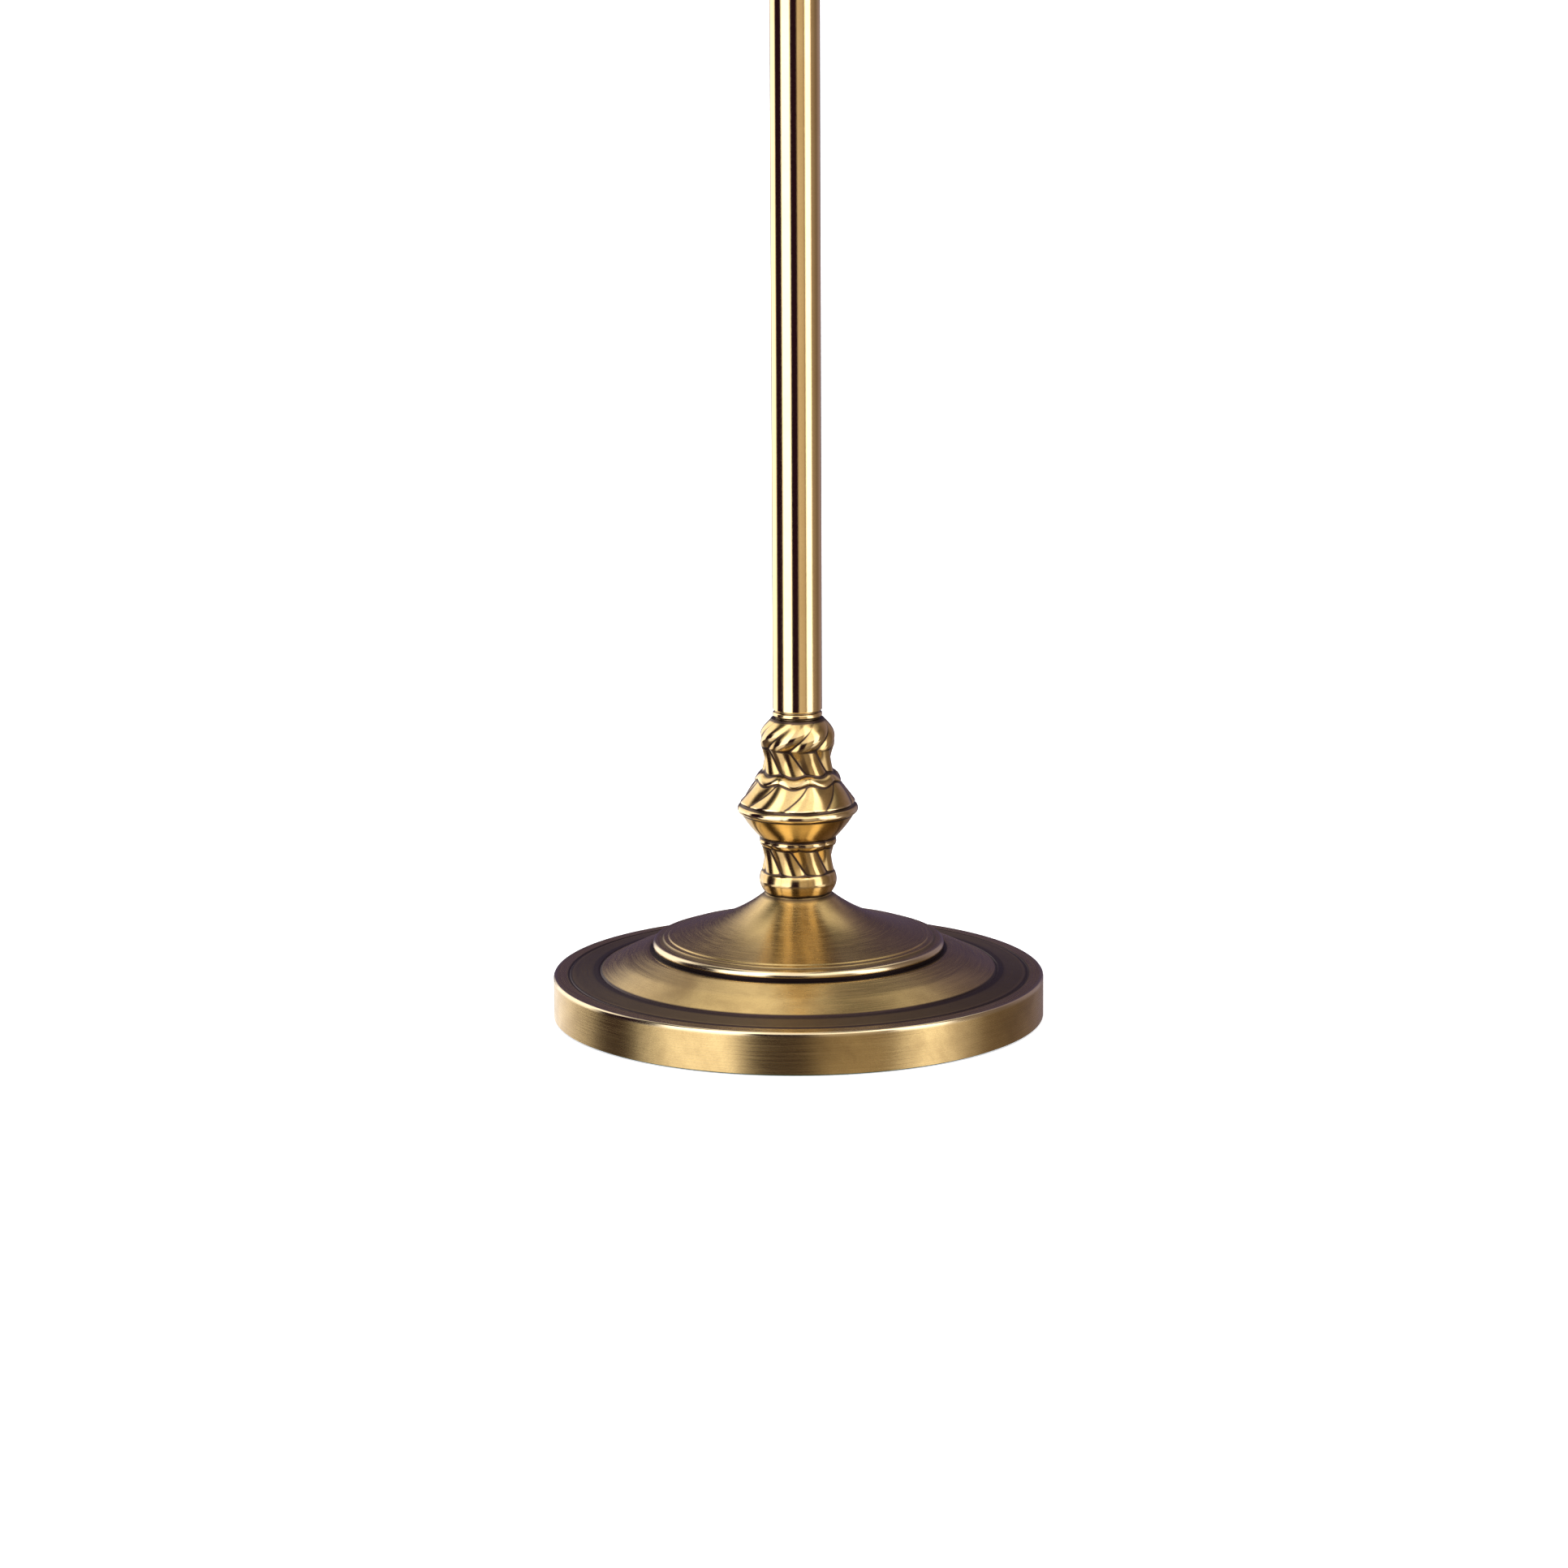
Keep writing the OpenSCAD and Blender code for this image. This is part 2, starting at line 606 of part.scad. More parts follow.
// lampholder
module shade_nipple() {
    color(STEEL) on_arm(arm_len + 2) tube(0, cap_x + 5 - arm_len - 2, nipple_r, 3.2);
}
module shade_washers() {
    color(BLACK) for (x = [end_x, plate_x + shade_t + face_gap])
        on_arm(x) tube(0, fibre_t, arm_r + 4, nipple_r + seat_fit);
}
module shade_nut() {
    color(STEEL) on_arm(lock_x) hex_nut(16, lock_h, nipple_r + seat_fit);
}
module socket_cap() {
    wall = 0.8;
    color(BRASS) on_arm(cap_x) rotate_extrude() polygon(concat(
        [[nipple_r + seat_fit, 0], [8.5, 0], [9, 0.6], [9, 4]],
        arc(socket_r - 8, cap_l - 3, 9, -85, 0, 8),
        [[socket_r + 1, cap_l]],
        [[socket_r + 1 - wall, cap_l]],
        arc(socket_r - 8, cap_l - 3, 9 - wall, 0, -75, 8),
        [[8, 6.4], [nipple_r + seat_fit, 6.4]]));
}
module socket_shell() {
    color(BRASS) difference() {
        on_arm(shell_x) rotate_extrude() polygon([
            [socket_r - 0.6, 0], [socket_r, 0], [socket_r, shell_l - 5], [socket_r + 0.8, shell_l - 4],
            [socket_r + 0.8, shell_l - 2.5], [socket_r, shell_l - 1.5], [socket_r, shell_l],
            [socket_r - 0.6, shell_l]]);
        translate([switch_x, 0, tilt_z]) rotate([180, 0, 0]) cylinder(h = socket_r + 3, r = 3.2);
    }
}
module socket_liner() {
    color("#6b5a48") difference() {
        on_arm(shell_x + 1) tube(0, shell_l - 2, liner_r, liner_r - 0.8);
        translate([switch_x, 0, tilt_z]) rotate([180, 0, 0]) cylinder(h = socket_r, r = 3.2);
    }
}
module socket_core() {
    color(BLACK) difference() {
        on_arm(core_x) cylinder(h = core_l, r = core_r);
        translate([switch_x, 0, tilt_z - 7]) rotate([180, 0, 0])
            cylinder(h = core_r, r = switch_r + run_fit);
    }
}
module socket_thread() {
    color(BRIGHT) on_arm(thread_x) tube(0, socket_end - 2 - thread_x, thread_r, thread_r - 0.5);
}
module socket_contact() {
    color(BRIGHT) on_arm(thread_x) cylinder(h = 2.4, r = 3);
}
module bulb_cap() {
    tip = 6;
    cap_t = 0.8;
    color(STEEL) on_arm(bulb_x) rotate_extrude() polygon([
        [0, -1.2], [4, -1.2], [tip, 0.8], [bulb_cap_r - 1.4, 4], [bulb_cap_r, 6],
        [bulb_cap_r, socket_end - bulb_x + 2], [bulb_cap_r - cap_t, socket_end - bulb_x + 2],
        [bulb_cap_r - cap_t, 6.6], [bulb_cap_r - 2, 5], [0, 2.4]]);
}
module bulb_glass() {
    glass_t = 1;
    r = bulb_d / 2;
    neck = bulb_cap_r - 0.6;
    color("#f4efe2") on_arm(socket_end + 2) rotate_extrude() polygon(concat(
        [[neck, 0], [neck, 4]],
        [for (i = [1:8]) let (t = i / 8)
            [neck + (r - neck) * (1 - cos(180 * t)) / 2, 4 + (bulb_len - r - 14) * t]],
        arc(0, bulb_len - r, r, 8, 88, 9),
        [[0, bulb_len], [0, bulb_len - glass_t]],
        arc(0, bulb_len - r, r - glass_t, 88, 8, 9),
        [for (i = [8:-1:1]) let (t = i / 8)
            [neck - glass_t + (r - neck) * (1 - cos(180 * t)) / 2, 4 + (bulb_len - r - 14) * t]],
        [[neck - glass_t, 0]]));
}

// switch
module switch_shaft() {
    color(BRIGHT) translate([switch_x, 0, tilt_z - 7.4]) rotate([180, 0, 0])
        cylinder(h = key_drop - 7.4, r = switch_r);
}
module switch_key() {
    color(BLACK) translate([switch_x, 0, tilt_z - key_drop + 6]) rotate([180, 0, 0]) difference() {
        union() {
            rotate_extrude() polygon([[0, 0], [3.6, 0], [4, 0.6], [4, 6], [3, 8], [0, 8]]);
            translate([0, 1.4, 11]) rotate([90, 0, 0]) cylinder(h = 2.8, r = 7);
        }
        translate([0, 0, -1]) cylinder(h = 7, r = switch_r + seat_fit);
    }
}

// shade
// Holes or rivets through the shade's wall, three at each end
module at_rivets() {
    for (x = [plate_x + rivet_in, shade_end - rivet_in]) for (a = [-60, 0, 60])
        translate([x, 0, tilt_z]) rotate([a, 0, 0]) translate([0, 0, shade_r]) children();
}
module shade_shell() {
    vents = 3;
    vent_r = 3.5;
    color(BRASS) difference() {
        on_arm(plate_x) linear_extrude(shade_len) difference() {
            arch(shade_r, shade_drop);
            arch(shade_r - shade_t, shade_drop + 1);
        }
        for (i = [0:vents - 1])
            translate([plate_x + shade_len * (0.4 + 0.1 * i), 0, tilt_z + shade_r - 6])
                cylinder(h = 8, r = vent_r);
        at_rivets() translate([0, 0, -3]) cylinder(h = 5, r = rivet_r + seat_fit);
    }
}
module shade_ends() {
    plug_r = shade_r - shade_t - seat_fit;
    color(BRASS) difference() {
        for (front = [false, true]) {
            on_arm(front ? shade_end - shade_t : plate_x) linear_extrude(shade_t)
                arch(plug_r, shade_drop);
            on_arm(front ? shade_end - flange_w : plate_x) linear_extrude(flange_w) difference() {
                arch(plug_r, shade_drop);
                arch(plug_r - flange_t, shade_drop + 1);
            }
        }
        on_arm(plate_x - 1) cylinder(h = shade_t + 2, r = nipple_r + run_fit);
        at_rivets() translate([0, 0, -3]) cylinder(h = 5, r = rivet_r + seat_fit);
    }
}
module shade_bead() {
    r = bead_d / 2;
    z = tilt_z - shade_drop - r;
    reach = shade_r - shade_t / 2;
    color(BRIGHT) union() {
        for (s = [-1, 1]) translate([plate_x - r / 2, s * reach, z]) rotate([0, 90, 0])
            cylinder(h = shade_len + r, r = r);
        for (x = [plate_x + shade_t / 2, shade_end - shade_t / 2])
            translate([x, -reach, z]) rotate([-90, 0, 0]) cylinder(h = 2 * reach, r = r - 0.1);
    }
}
module shade_rivets() {
    head_h = 1.2;
    color(BRIGHT) at_rivets() rotate_extrude() polygon(concat(
        [[0, -shade_t - flange_t - 0.4], [rivet_r, -shade_t - flange_t - 0.4], [rivet_r, 0.06]],
        [[rivet_r * 1.9, 0.06]], arc(0, 0.06, rivet_r * 1.9, 20, 70, 3), [[0, head_h + 0.8]]));
}

base_cover();
base_weight();
base_felt();
base_spacer();
base_washer();
base_nut();
centre_rod();
cord_bush();
base_flex();
spindle();
seat_ring();
outer_tube();
tube_plug();
guide_upper();
clamp_collar();
clamp_pad();
clamp_screw();
clamp_knob();
inner_tube();
guide_lower();
guide_rivets();
mast_flex();
swivel_base();
swivel_stud();
swivel_washer();
swivel_nut();
stop_pin();
swivel_head();
tilt_bolt();
tilt_knob();
arm_knuckle();
tilt_washers();
arm_tube();
arm_end();
arm_flex();
shade_nipple();
shade_washers();
shade_nut();
socket_cap();
socket_shell();
socket_liner();
socket_core();
socket_thread();
socket_contact();
bulb_cap();
bulb_glass();
switch_shaft();
switch_key();
shade_shell();
shade_ends();
shade_bead();
shade_rivets();
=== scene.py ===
import math

import bmesh
import bpy
import numpy as np
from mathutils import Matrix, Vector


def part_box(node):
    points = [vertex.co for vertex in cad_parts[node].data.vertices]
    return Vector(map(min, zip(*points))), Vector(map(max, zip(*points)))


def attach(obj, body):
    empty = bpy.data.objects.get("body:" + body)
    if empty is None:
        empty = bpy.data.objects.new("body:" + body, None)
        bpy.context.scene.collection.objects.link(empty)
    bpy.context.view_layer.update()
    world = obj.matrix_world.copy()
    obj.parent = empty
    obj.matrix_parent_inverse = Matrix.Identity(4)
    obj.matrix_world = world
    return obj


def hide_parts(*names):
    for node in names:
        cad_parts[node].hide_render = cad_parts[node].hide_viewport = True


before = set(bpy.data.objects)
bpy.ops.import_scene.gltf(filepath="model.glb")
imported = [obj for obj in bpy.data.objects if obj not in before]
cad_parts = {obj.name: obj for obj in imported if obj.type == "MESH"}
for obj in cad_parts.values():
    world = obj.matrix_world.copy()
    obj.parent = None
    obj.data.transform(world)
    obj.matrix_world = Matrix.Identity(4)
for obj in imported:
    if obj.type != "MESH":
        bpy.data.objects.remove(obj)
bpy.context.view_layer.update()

# Studio: a camera a little above the column's foot, a pale floor, and a ring of tall soft panels with
# dark gaps between them, which is what gives lacquered brass its upright streaks. A canopy high in
# front lights the rounded edges. The sky holds them all, so they stay where they are from every side.
scene = bpy.context.scene
scene.view_settings.view_transform = "Standard"


def add(tree, kind, inputs=(), **settings):
    """Adds a shader node, sets its properties, and gives each input a value or a link."""
    node = tree.nodes.new("ShaderNode" + kind)
    for name, value in settings.items():
        setattr(node, name, value)
    for name, value in dict(inputs).items():
        if isinstance(value, bpy.types.NodeSocket):
            tree.links.new(value, node.inputs[name])
        else:
            node.inputs[name].default_value = value
    return node


def ramp(tree, value, stops):
    """A colour ramp through (place, colour) stops."""
    node = add(tree, "ValToRGB", {0: value})
    band = node.color_ramp
    for spare in range(len(stops) - 2):
        band.elements.new(0.5)
    for element, (place, tone) in zip(band.elements, stops):
        element.position = place
        element.color = (*tone, 1)
    return node.outputs["Color"]


def smoothed(tree, value, start, end, low=0.0, high=1.0):
    """A number carried from one range to another, kept inside it and eased at both ends."""
    return add(tree, "MapRange", {"Value": value, "From Min": start, "From Max": end,
                                  "To Min": low, "To Max": high},
               interpolation_type="SMOOTHSTEP").outputs[0]


CAMERA_PITCH = 11.975
CAMERA_LEAN = 0.25
camera = bpy.data.objects.new("camera", bpy.data.cameras.new("camera"))
scene.collection.objects.link(camera)
scene.camera = camera
camera.data.sensor_width = 36
camera.data.lens = 127.44
camera.data.clip_end = 100
camera.location = (-0.0045, -2.7985, 0.71565)
camera.rotation_euler = (math.radians(90 - CAMERA_PITCH), math.radians(CAMERA_LEAN), 0)

PLUM = (0.02, 0.006, 0.017)
DUSK = (0.10, 0.075, 0.135)
PANELS = [
    (-180, DUSK), (-164, DUSK), (-150, (1.7, 1.6, 1.5)), (-113, (1.9, 1.8, 1.7)), (-103, PLUM),
    (-71, PLUM), (-62, (2.7, 2.65, 2.6)), (-29, (2.8, 2.7, 2.6)), (-21, PLUM), (4, PLUM),
    (12, (0.72, 0.6, 0.44)), (36, (0.62, 0.5, 0.36)), (42, (0.3, 0.24, 0.18)),
    (50, (2.7, 2.6, 2.5)), (70, (2.6, 2.5, 2.4)), (78, (0.4, 0.31, 0.24)), (110, (0.2, 0.15, 0.12)),
    (130, (0.32, 0.25, 0.27)), (150, (0.34, 0.28, 0.33)), (162, DUSK), (180, DUSK),
]
BRIGHTEST = 4
GROUND = (0.22, 0.17, 0.145)
CANOPY = (3.6, 3.45, 3.2)
CANOPY_STRIPES = 0.6
CEILING_TONE = (1.0, 0.93, 0.8)
CEILING = [
    (0.00, 0.05), (0.28, 0.10), (0.38, 1.50), (0.52, 1.40), (0.56, 0.25), (0.63, 0.30),
    (0.67, 1.40), (0.75, 1.10), (0.84, 0.10), (1.00, 0.05),
]
# Each part of the sky begins or ends over a stretch of heights, where 0 is level and 1 straight up;
# CANOPY_FRONT is a stretch towards the front. Low down, a panel is looked up at a share of the
# bearing, so that it stands further round, and the walls take a share of the ground's tone.
PANEL_FOOT = (-0.19, -0.27)
LOW_BEARING_SHARE = 0.8
LOW_WALL = (-0.21, -0.3)
LOW_GROUND_SHARE = 0.55
GROUND_EDGE = (-0.45, -0.7)
CEILING_EDGE = (0.58, 0.84)
CANOPY_FOOT = (0.26, 0.44)
CANOPY_TOP = (0.9, 0.97)
CANOPY_FRONT = (0.08, 0.3)
sky = bpy.data.worlds.new("studio")
scene.world = sky
sky.use_nodes = True
tree = sky.node_tree
tree.nodes.clear()
way = add(tree, "SeparateXYZ", {0: add(tree, "TexCoord").outputs["Generated"]}).outputs
front = add(tree, "Math", {0: way["Y"], 1: -1.0}, operation="MULTIPLY").outputs[0]
bearing = add(tree, "Math", {0: way["X"], 1: front}, operation="ARCTAN2").outputs[0]
share = add(tree, "MapRange", {"Value": bearing, "From Min": -math.pi, "From Max": math.pi}).outputs[0]
narrowed = smoothed(tree, way["Z"], *PANEL_FOOT, 1.0, LOW_BEARING_SHARE)
centred = add(tree, "Math", {0: share, 1: 0.5}, operation="SUBTRACT").outputs[0]
drawn_share = add(tree, "Math", {0: centred, 1: narrowed, 2: 0.5}, operation="MULTIPLY_ADD").outputs[0]
side = ramp(tree, drawn_share, [((a + 180) / 360, np.array(tone) / BRIGHTEST) for a, tone in PANELS])
across = add(tree, "MapRange", {"Value": way["X"], "From Min": -1.0, "From Max": 1.0}).outputs[0]
overhead = ramp(tree, across, [(x, np.array(CEILING_TONE) * tone / BRIGHTEST) for x, tone in CEILING])
over = smoothed(tree, way["Z"], *CEILING_EDGE)
low_wall = smoothed(tree, way["Z"], *LOW_WALL, 0.0, LOW_GROUND_SHARE)
footing = smoothed(tree, way["Z"], *GROUND_EDGE)
under = add(tree, "Math", {0: low_wall, 1: footing}, operation="MAXIMUM").outputs[0]
walls = add(tree, "MixRGB", {"Fac": over, "Color1": side, "Color2": overhead}).outputs[0]
risen = smoothed(tree, way["Z"], *CANOPY_FOOT)
ended = smoothed(tree, way["Z"], *CANOPY_TOP, 1.0, 0.0)
facing = smoothed(tree, front, *CANOPY_FRONT)
band = add(tree, "Math", {0: risen, 1: ended}, operation="MULTIPLY").outputs[0]
canopy = add(tree, "Math", {0: band, 1: facing}, operation="MULTIPLY").outputs[0]
striped = add(tree, "MixRGB", {"Fac": CANOPY_STRIPES, "Color1": (*np.array(CANOPY) / BRIGHTEST, 1),
                               "Color2": side}).outputs[0]
roofed = add(tree, "MixRGB", {"Fac": canopy, "Color1": walls, "Color2": striped}).outputs[0]
tent = add(tree, "MixRGB", {"Fac": under, "Color1": roofed,
                            "Color2": (*np.array(GROUND) / BRIGHTEST, 1)}).outputs[0]
lit = add(tree, "Background", {"Color": tent, "Strength": float(BRIGHTEST)}).outputs[0]
paper = add(tree, "Background", {"Color": (1, 1, 1, 1), "Strength": 1.0}).outputs[0]
seen = add(tree, "LightPath").outputs["Is Camera Ray"]
blend = add(tree, "MixShader", {0: seen, 1: lit, 2: paper}).outputs[0]
add(tree, "OutputWorld", {"Surface": blend})


def skin(name, points, loop=False, crease=38, hollow=None):
    """A mesh over a grid of points, with rows along the piece and columns round it, the last joined to
    the first. loop joins the last row to the first too; poles and seams are merged."""
    rows, columns = points.shape[:2]
    number = np.arange(rows * columns).reshape(rows, columns)
    number = np.hstack([number, number[:, :1]])
    if loop:
        number = np.vstack([number, number[:1]])
    quads = np.stack([number[:-1, :-1], number[:-1, 1:], number[1:, 1:], number[1:, :-1]], axis=2)
    mesh = bpy.data.meshes.new(name)
    mesh.vertices.add(rows * columns)
    mesh.vertices.foreach_set("co", points.reshape(-1).astype(np.float32))
    mesh.loops.add(quads.size)
    mesh.loops.foreach_set("vertex_index", quads.reshape(-1).astype(np.int32))
    mesh.polygons.add(quads.size // 4)
    mesh.polygons.foreach_set("loop_start", np.arange(0, quads.size, 4, dtype=np.int32))
    mesh.update(calc_edges=True)
    if hollow is not None:
        depth = mesh.attributes.new("hollow", "FLOAT", "POINT")
        depth.data.foreach_set("value", hollow.reshape(-1).astype(np.float32))
    shell = bmesh.new()
    shell.from_mesh(mesh)
    bmesh.ops.remove_doubles(shell, verts=shell.verts, dist=1e-7)
    shell.to_mesh(mesh)
    shell.free()
    mesh.shade_smooth()
    mesh.set_sharp_from_angle(angle=math.radians(crease))
    piece = bpy.data.objects.new(name, mesh)
    scene.collection.objects.link(piece)
    return piece


def full_circle(count):
    """Evenly spaced angles round a full circle, ending one step before the first comes again."""
    return np.arange(count) * 2 * np.pi / count


FLOOR_RADIUS = 40.0
floor_angle = full_circle(96)
floor_reach = np.array([0.0, 0.2, 0.5, 1.2, 3.0, 8.0, FLOOR_RADIUS])[::-1, None]
floor = skin("floor", np.stack([floor_reach * np.cos(floor_angle), floor_reach * np.sin(floor_angle),
                                0 * floor_reach * floor_angle], axis=2))
floor.visible_glossy = False
pale = bpy.data.materials.new("pale_floor")
pale.use_nodes = True
shader = pale.node_tree.nodes["Principled BSDF"]
shader.inputs["Base Color"].default_value = (0.86, 0.86, 0.86, 1)
shader.inputs["Roughness"].default_value = 0.9
shader.inputs["Specular IOR Level"].default_value = 0.0
shader.inputs["Emission Color"].default_value = (0.88, 0.93, 1, 1)
shader.inputs["Emission Strength"].default_value = 0.6
floor.data.materials.append(pale)


# Base cover: spun from brass sheet over a steel form, in one piece from the rolled rim to the
# trumpet that carries the spindle, then brushed on the lathe, browned and rubbed back.
MM = 0.001
cover_low, cover_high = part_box("base_cover")
COVER_R = cover_high.x
COVER_TOP = cover_high.z
COVER_FOOT = cover_low.z
CROWN_R = 17.5 * MM
RIM_H = 22.5 * MM
SHEET = 1.2 * MM
ROD_HOLE = 5.1 * MM
BUSH_HOLE = 5.55 * MM


def eased(corners, rounding, steps=5):
    """An open outline whose corners are rounded: each becomes a parabola from one side to the next,
    cut back by the rounding or by under half of the shorter side."""
    line = np.asarray(corners, float)
    here = line[1:-1]
    back = line[:-2] - here
    on = line[2:] - here
    back_length = np.linalg.norm(back, axis=1, keepdims=True)
    on_length = np.linalg.norm(on, axis=1, keepdims=True)
    cut = np.minimum(rounding, 0.45 * np.minimum(back_length, on_length))
    first = here + back / back_length * cut
    last = here + on / on_length * cut
    t = np.linspace(0, 1, steps)[None, :, None]
    bends = (1 - t) ** 2 * first[:, None] + 2 * t * (1 - t) * here[:, None] + t ** 2 * last[:, None]
    return np.concatenate([line[:1], bends.reshape(-1, 2), line[-1:]])


def dense(line, spacing):
    """The same outline with points no further apart than the spacing, measured along it."""
    along = np.concatenate([[0], np.cumsum(np.linalg.norm(np.diff(line, axis=0), axis=1))])
    marks = np.union1d(along, np.arange(0, along[-1], spacing))
    marks = marks[np.concatenate([[True], np.diff(marks) > spacing * 0.02])]
    return np.stack([np.interp(marks, along, line[:, k]) for k in range(line.shape[1])], axis=1)


def arc(centre, radius, start, end, count=9):
    """Points of a circular arc in the outline's own plane, from one angle in degrees to another."""
    angle = np.radians(np.linspace(start, end, count))
    return np.stack([centre[0] + radius * np.cos(angle), centre[1] + radius * np.sin(angle)], axis=1)


def turned(line, count):
    """A surface of revolution round Z: each outline point's radius goes round a full circle of angles,
    and its height stays."""
    angle = full_circle(count)
    radius, height = line[:, :1], line[:, 1:]
    return np.stack([radius * np.cos(angle), radius * np.sin(angle), height + 0 * angle], axis=2)


# Its values also drive the brass finish: hollows darken for patina and painted shade, raised edges lighten
# for wear and a painted highlight.
def sunk(points, reach, columns):
    """How far each point lies below its surroundings: the mean of four neighbours, reach away along the
    piece and some columns round it, less the point, taken along its normal and shared by reach."""
    rows = len(points)
    step = np.linalg.norm(np.diff(points, axis=0), axis=2).mean(axis=1)
    along = np.concatenate([[0], np.cumsum(step)])

    def shifted(distance):
        place = np.interp(along + distance, along, np.arange(rows))
        low = np.minimum(place.astype(int), rows - 2)
        part = (place - low)[:, None, None]
        return points[low] * (1 - part) + points[low + 1] * part

    rise = np.gradient(points, axis=0)
    sweep = np.roll(points, -1, axis=1) - np.roll(points, 1, axis=1)
    normal = np.cross(sweep, rise)
    normal /= np.linalg.norm(normal, axis=2, keepdims=True) + 1e-12
    around = np.roll(points, columns, axis=1) + np.roll(points, -columns, axis=1)
    mean = (shifted(reach) + shifted(-reach) + around) / 4
    return ((mean - points) * normal).sum(axis=2) / reach


def trumpet(start, end, sag, count=40):
    """A hollow slope from start to end: height runs evenly with radius, less a cubic sag that leaves
    the foot flat and steepens towards the top."""
    t = np.linspace(0, 1, count)
    rise = t + sag * (t ** 3 - t)
    return np.stack([start[0] + (end[0] - start[0]) * t, start[1] + (end[1] - start[1]) * rise], axis=1)


tier_r = COVER_R - 24 * MM
tier_in = tier_r - 25.5 * MM
tier_foot = RIM_H + 2.6 * MM
tier_top = tier_foot + 10.5 * MM
roll_r = tier_in - 4.5 * MM
roll_z = tier_top + 2.6 * MM
step_z = roll_z + 3.6 * MM
step_r = roll_r - 5.5 * MM
rim = eased([
    (COVER_R, COVER_FOOT), (COVER_R, RIM_H), (COVER_R - 7.6 * MM, RIM_H + 0.3 * MM),
    (COVER_R - 8.2 * MM, RIM_H - 0.1 * MM), (COVER_R - 8.8 * MM, RIM_H + 0.4 * MM),
    (tier_r + 0.6 * MM, tier_foot - 0.3 * MM), (tier_r, tier_foot - 0.9 * MM),
    (tier_r - 0.8 * MM, tier_foot), (tier_r - 12.75 * MM, tier_foot + 5.9 * MM),
    (tier_in + 1 * MM, tier_top), (roll_r + 1.6 * MM, tier_top - 0.4 * MM)], 1.5 * MM)
roll = arc((roll_r, roll_z), 2.4 * MM, -40, 100, 13)
step = eased([roll[-1], (step_r + 2.8 * MM, step_z - 0.7 * MM), (step_r + 2.2 * MM, step_z),
              (step_r, step_z + 0.4 * MM), (step_r - 0.6 * MM, step_z + 1 * MM)], 0.5 * MM)
slope = trumpet((step_r - 0.6 * MM, step_z + 1 * MM), (CROWN_R, COVER_TOP - 0.7 * MM), 0.42)
crown = eased([slope[-1], (CROWN_R - 0.6 * MM, COVER_TOP), (ROD_HOLE, COVER_TOP)], 0.3 * MM)
outside = np.concatenate([rim, roll[1:], step[1:], slope[1:], crown[1:]])
inside = np.array([
    (ROD_HOLE, COVER_TOP - SHEET), (CROWN_R - 1.4 * MM, COVER_TOP - SHEET - 1 * MM),
    (step_r * 0.55, step_z + 5 * MM), (step_r - 1 * MM, step_z - 1 * MM),
    (roll_r - SHEET, tier_top - SHEET), (tier_in, tier_top - 2 * MM), (tier_r - 1 * MM, tier_foot - 2.2 * MM),
    (COVER_R - SHEET - 0.6 * MM, RIM_H - SHEET), (COVER_R - SHEET, RIM_H - 2 * MM),
    (COVER_R - SHEET, COVER_FOOT)])
cover_line = np.concatenate([dense(outside, 1.2 * MM), dense(inside, 6 * MM)])
cover_skin = turned(cover_line, 320)
# Full strength of the darkening that stands for patina and painted shade.
FULL_PATINA_AND_SHADE = 0.16
# Painted dark reflection: the flat ring round the rim is darkened in its colour for the dark surroundings it
# mirrors.
RING_DARK_REFLECTION = 0.135
# Painted shade under the roll: the radius, width and strength of its band.
ROLL_SHADE = (roll_r + 2.4 * MM, 2.3 * MM, 1.7)
# Patina in the grooves and joins round the cover, and painted shade along them: radius, width and strength of
# each line.
PATINA_AND_SHADE_LINES = [(tier_r + 0.6 * MM, 1.7 * MM, 1.6), (CROWN_R, 1.2 * MM, 1.2),
               (COVER_R - 8.2 * MM, 0.7 * MM, 0.8), (step_r + 2.5 * MM, 0.6 * MM, 0.7)]
cover_out = np.hypot(cover_skin[:, :, 0], cover_skin[:, :, 1])


def patina_and_shade_line(at, width, strength):
    """Darkening round the cover at a radius, for patina and painted shade: a bell of the given width."""
    return FULL_PATINA_AND_SHADE * strength * np.exp(-((cover_out - at) / width) ** 2)


# Painted shade on the cover below the roll.
shade_under_roll = np.where(cover_skin[:, :, 2] < roll_z - 0.5 * MM, patina_and_shade_line(*ROLL_SHADE), 0)
patina_and_shade_marks = [shade_under_roll] + [patina_and_shade_line(*line) for line in PATINA_AND_SHADE_LINES]
# Where the painted dark reflection lies: the flat ring between the tier's foot and the rim's edge.
on_ring = np.clip((cover_out - tier_r) / MM, 0, 1) * np.clip((COVER_R - 6 * MM - cover_out) / (2 * MM), 0, 1)
# Hollows and lines darken for patina and painted shade, and the flat ring for a painted reflection; raised
# edges come out below zero, for wear and a painted highlight.
cover_dark = sunk(cover_skin, 2.2 * MM, 2) + np.max(patina_and_shade_marks, axis=0) + RING_DARK_REFLECTION * on_ring
base_cover_piece = skin("base_cover_spun", cover_skin, loop=True, hollow=cover_dark)


